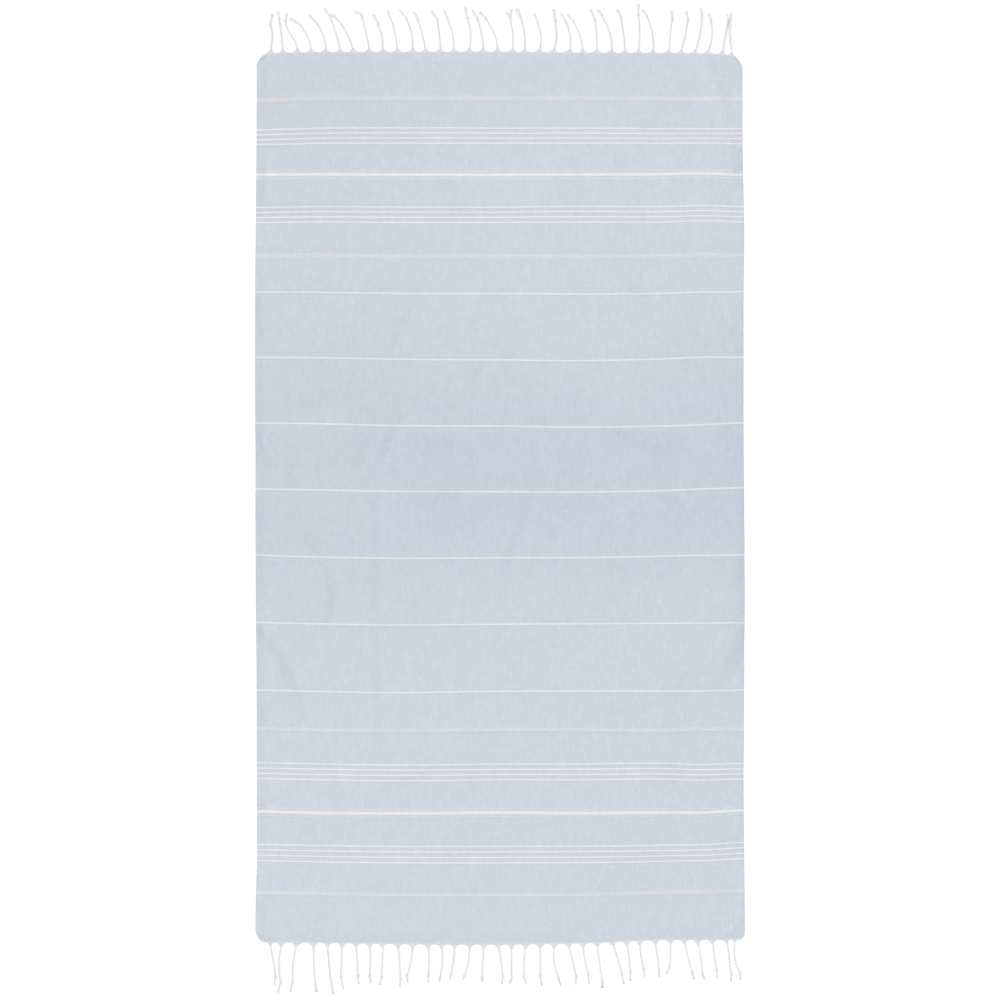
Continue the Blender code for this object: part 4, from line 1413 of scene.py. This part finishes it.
class TowelFringeSettings(bpy.types.PropertyGroup):
    """Sizes and colours of the fringes."""

    cord_diameter: Length(name="Cord", description="Diameter of a twisted cord", default=0.0045)
    cord_step: Length(
        name="Cord step", description="Length of cord between its sections", default=0.00125
    )
    ply_pitch: Length(
        name="Ply pitch", description="Length of one full turn of the plies", default=0.0120
    )
    knot_width: Length(name="Knot width", description="Width of a knot", default=0.0075)
    knot_length: Length(name="Knot length", description="Length of a knot", default=0.0094)
    knot_steps: IntProperty(name="Knot steps", description="Sections of a knot's turns", default=30)
    warp_diameter: Length(name="Warp end", description="Diameter of a loose warp end", default=0.00105)
    warp_spacing: Length(
        name="Warp spacing", description="Distance between gathered warp ends", default=0.0014
    )
    warp_steps: IntProperty(
        name="Warp steps", description="Sections of a gathered warp end", default=7
    )
    tail_wave: Length(name="Tail wave", description="Waviness of a loose end", default=0.00025)
    tail_steps: IntProperty(name="Tail steps", description="Sections of a loose end", default=8)
    fibre_pitch: Length(
        name="Fibre pitch", description="Length of one turn of the fibres", default=0.0021
    )
    fibre_relief: Length(
        name="Fibre relief", description="Height of the fibres' turns", default=0.00012
    )
    seed: IntProperty(name="Seed", description="Chooses how the strands differ", default=5)
    roughness: Factor(name="Roughness", description="Roughness of the yarn", default=0.9)
    light_colour: Colour(name="Light yarn", description="Lightest yarn", default=(0.758, 0.758, 0.765))
    dark_colour: Colour(name="Dark yarn", description="Darkest yarn", default=(0.672, 0.672, 0.680))


class TowelStageSettings(bpy.types.PropertyGroup):
    """Floor, lights and camera."""

    floor_size: Length(name="Floor", description="Width of the floor", default=16.0)
    floor_colour: Colour(name="Floor", description="Colour of the floor", default=(0.86, 0.86, 0.86))
    floor_glow: FloatProperty(
        name="Floor glow", description="Strength of the light from below the floor", default=0.16
    )
    view_width: Length(
        name="View width", description="Width of floor that the camera sees", default=2.047
    )
    lens: FloatProperty(
        name="Lens", description="Focal length in mm", default=85.0, subtype="DISTANCE_CAMERA"
    )
    fill_light: FloatProperty(
        name="Fill", description="Strength of the light from all round", default=1.0
    )
    key_light: FloatProperty(
        name="Key", description="Strength of the soft light from above", default=1.364
    )
    key_height: Angle(
        name="Key height", description="Height of the key light", default=math.radians(35)
    )
    key_turn: Angle(
        name="Key turn", description="Turn of the key light from the far end", default=math.radians(60)
    )
    key_softness: Angle(
        name="Key softness", description="Width of the key light", default=math.radians(45)
    )


# Operators


class TOWEL_OT_lay_stage(bpy.types.Operator):
    """Lay the pale floor, and set the soft light and the camera straight above the towel."""

    bl_idname = "towel.lay_stage"
    bl_label = "Lay Stage"

    def execute(self, context):
        settings = context.scene.towel_stage
        bpy.ops.object.select_all(action="DESELECT")
        bpy.ops.mesh.primitive_plane_add(size=settings.floor_size, location=(0.0, 0.0, 0.0))
        floor = context.active_object
        floor.name = FLOOR
        floor.data.materials.append(floor_finish(settings.floor_colour, settings.floor_glow))
        settle(floor)

        world = bpy.data.worlds.new("soft_room")
        world.use_nodes = True
        background = world.node_tree.nodes["Background"]
        background.inputs["Color"].default_value = (1.0, 1.0, 1.0, 1.0)
        background.inputs["Strength"].default_value = settings.fill_light
        context.scene.world = world

        bpy.ops.object.light_add(type="SUN", location=(0.0, 0.0, 3.0))
        key = context.active_object
        key.name = "key_light"
        key.data.energy = settings.key_light
        key.data.angle = settings.key_softness
        tilt = math.pi / 2 - settings.key_height
        key.rotation_euler = (-tilt, 0.0, settings.key_turn)

        bpy.ops.object.camera_add(location=(0.0, 0.0, 1.0), rotation=(0.0, 0.0, 0.0))
        camera = context.active_object
        camera.name = "camera_above"
        camera.data.lens = settings.lens
        camera.data.clip_end = 100.0
        camera.location.z = settings.view_width * settings.lens / camera.data.sensor_width
        context.scene.camera = camera
        context.scene.view_settings.view_transform = "Standard"
        return {"FINISHED"}


class TOWEL_OT_twist_fringe(bpy.types.Operator):
    """Gather the warp at one end into knotted cords with loose tails."""

    bl_idname = "towel.twist_fringe"
    bl_label = "Twist Fringe"

    end: EnumProperty(
        name="End",
        description="The end of the cloth that the fringe grows from",
        items=(("top", "Top", "The upper end"), ("bottom", "Bottom", "The lower end")),
    )

    def execute(self, context):
        fringe = twist_fringe(self.end, context.scene.towel_fringe)
        if not fringe.data.polygons:
            raise RuntimeError("the fringe has no strands")
        fringe.data.materials.append(yarn_finish(context.scene.towel_fringe))
        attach(fringe, BODY)
        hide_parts(FRINGE_NODES[self.end])
        return {"FINISHED"}


class TOWEL_OT_weave_cloth(bpy.types.Operator):
    """Weave the striped cloth with its hems, ribs and soft creases."""

    bl_idname = "towel.weave_cloth"
    bl_label = "Weave Cloth"

    def execute(self, context):
        settings = context.scene.towel_cloth
        cloth = weave_sheet(settings)
        if not cloth.data.polygons:
            raise RuntimeError("the cloth has no faces")
        cloth.data.materials.append(woven_finish(settings))
        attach(cloth, BODY)
        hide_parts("cloth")
        fringes = [name for name in FRINGE_PIECES.values() if name in bpy.data.objects]
        return {"FINISHED"}


class TOWEL_PT_towel(bpy.types.Panel):
    """Lists the towel's settings and the operators that make it."""

    bl_label = "Hammam Towel"
    bl_idname = "TOWEL_PT_towel"
    bl_space_type = "VIEW_3D"
    bl_region_type = "UI"
    bl_category = "Towel"

    def draw(self, context):
        for group in (context.scene.towel_stage, context.scene.towel_fringe, context.scene.towel_cloth):
            box = self.layout.box()
            for name in group.bl_rna.properties.keys():
                if name not in ("rna_type", "name"):
                    box.prop(group, name)
        self.layout.operator("towel.lay_stage")
        self.layout.operator("towel.twist_fringe", text="Twist Top Fringe").end = "top"
        self.layout.operator("towel.twist_fringe", text="Twist Bottom Fringe").end = "bottom"
        self.layout.operator("towel.weave_cloth")


CLASSES = (
    TowelClothSettings,
    TowelFringeSettings,
    TowelStageSettings,
    TOWEL_OT_lay_stage,
    TOWEL_OT_twist_fringe,
    TOWEL_OT_weave_cloth,
    TOWEL_PT_towel,
)


def register():
    for cls in CLASSES:
        bpy.utils.register_class(cls)
    bpy.types.Scene.towel_cloth = PointerProperty(type=TowelClothSettings)
    bpy.types.Scene.towel_fringe = PointerProperty(type=TowelFringeSettings)
    bpy.types.Scene.towel_stage = PointerProperty(type=TowelStageSettings)


def unregister():
    del bpy.types.Scene.towel_stage
    del bpy.types.Scene.towel_fringe
    del bpy.types.Scene.towel_cloth
    for cls in reversed(CLASSES):
        bpy.utils.unregister_class(cls)


def main():
    register()
    bpy.ops.towel.lay_stage()
    bpy.ops.towel.twist_fringe(end="top")
    bpy.ops.towel.twist_fringe(end="bottom")
    bpy.ops.towel.weave_cloth()


if __name__ == "__main__":
    main()
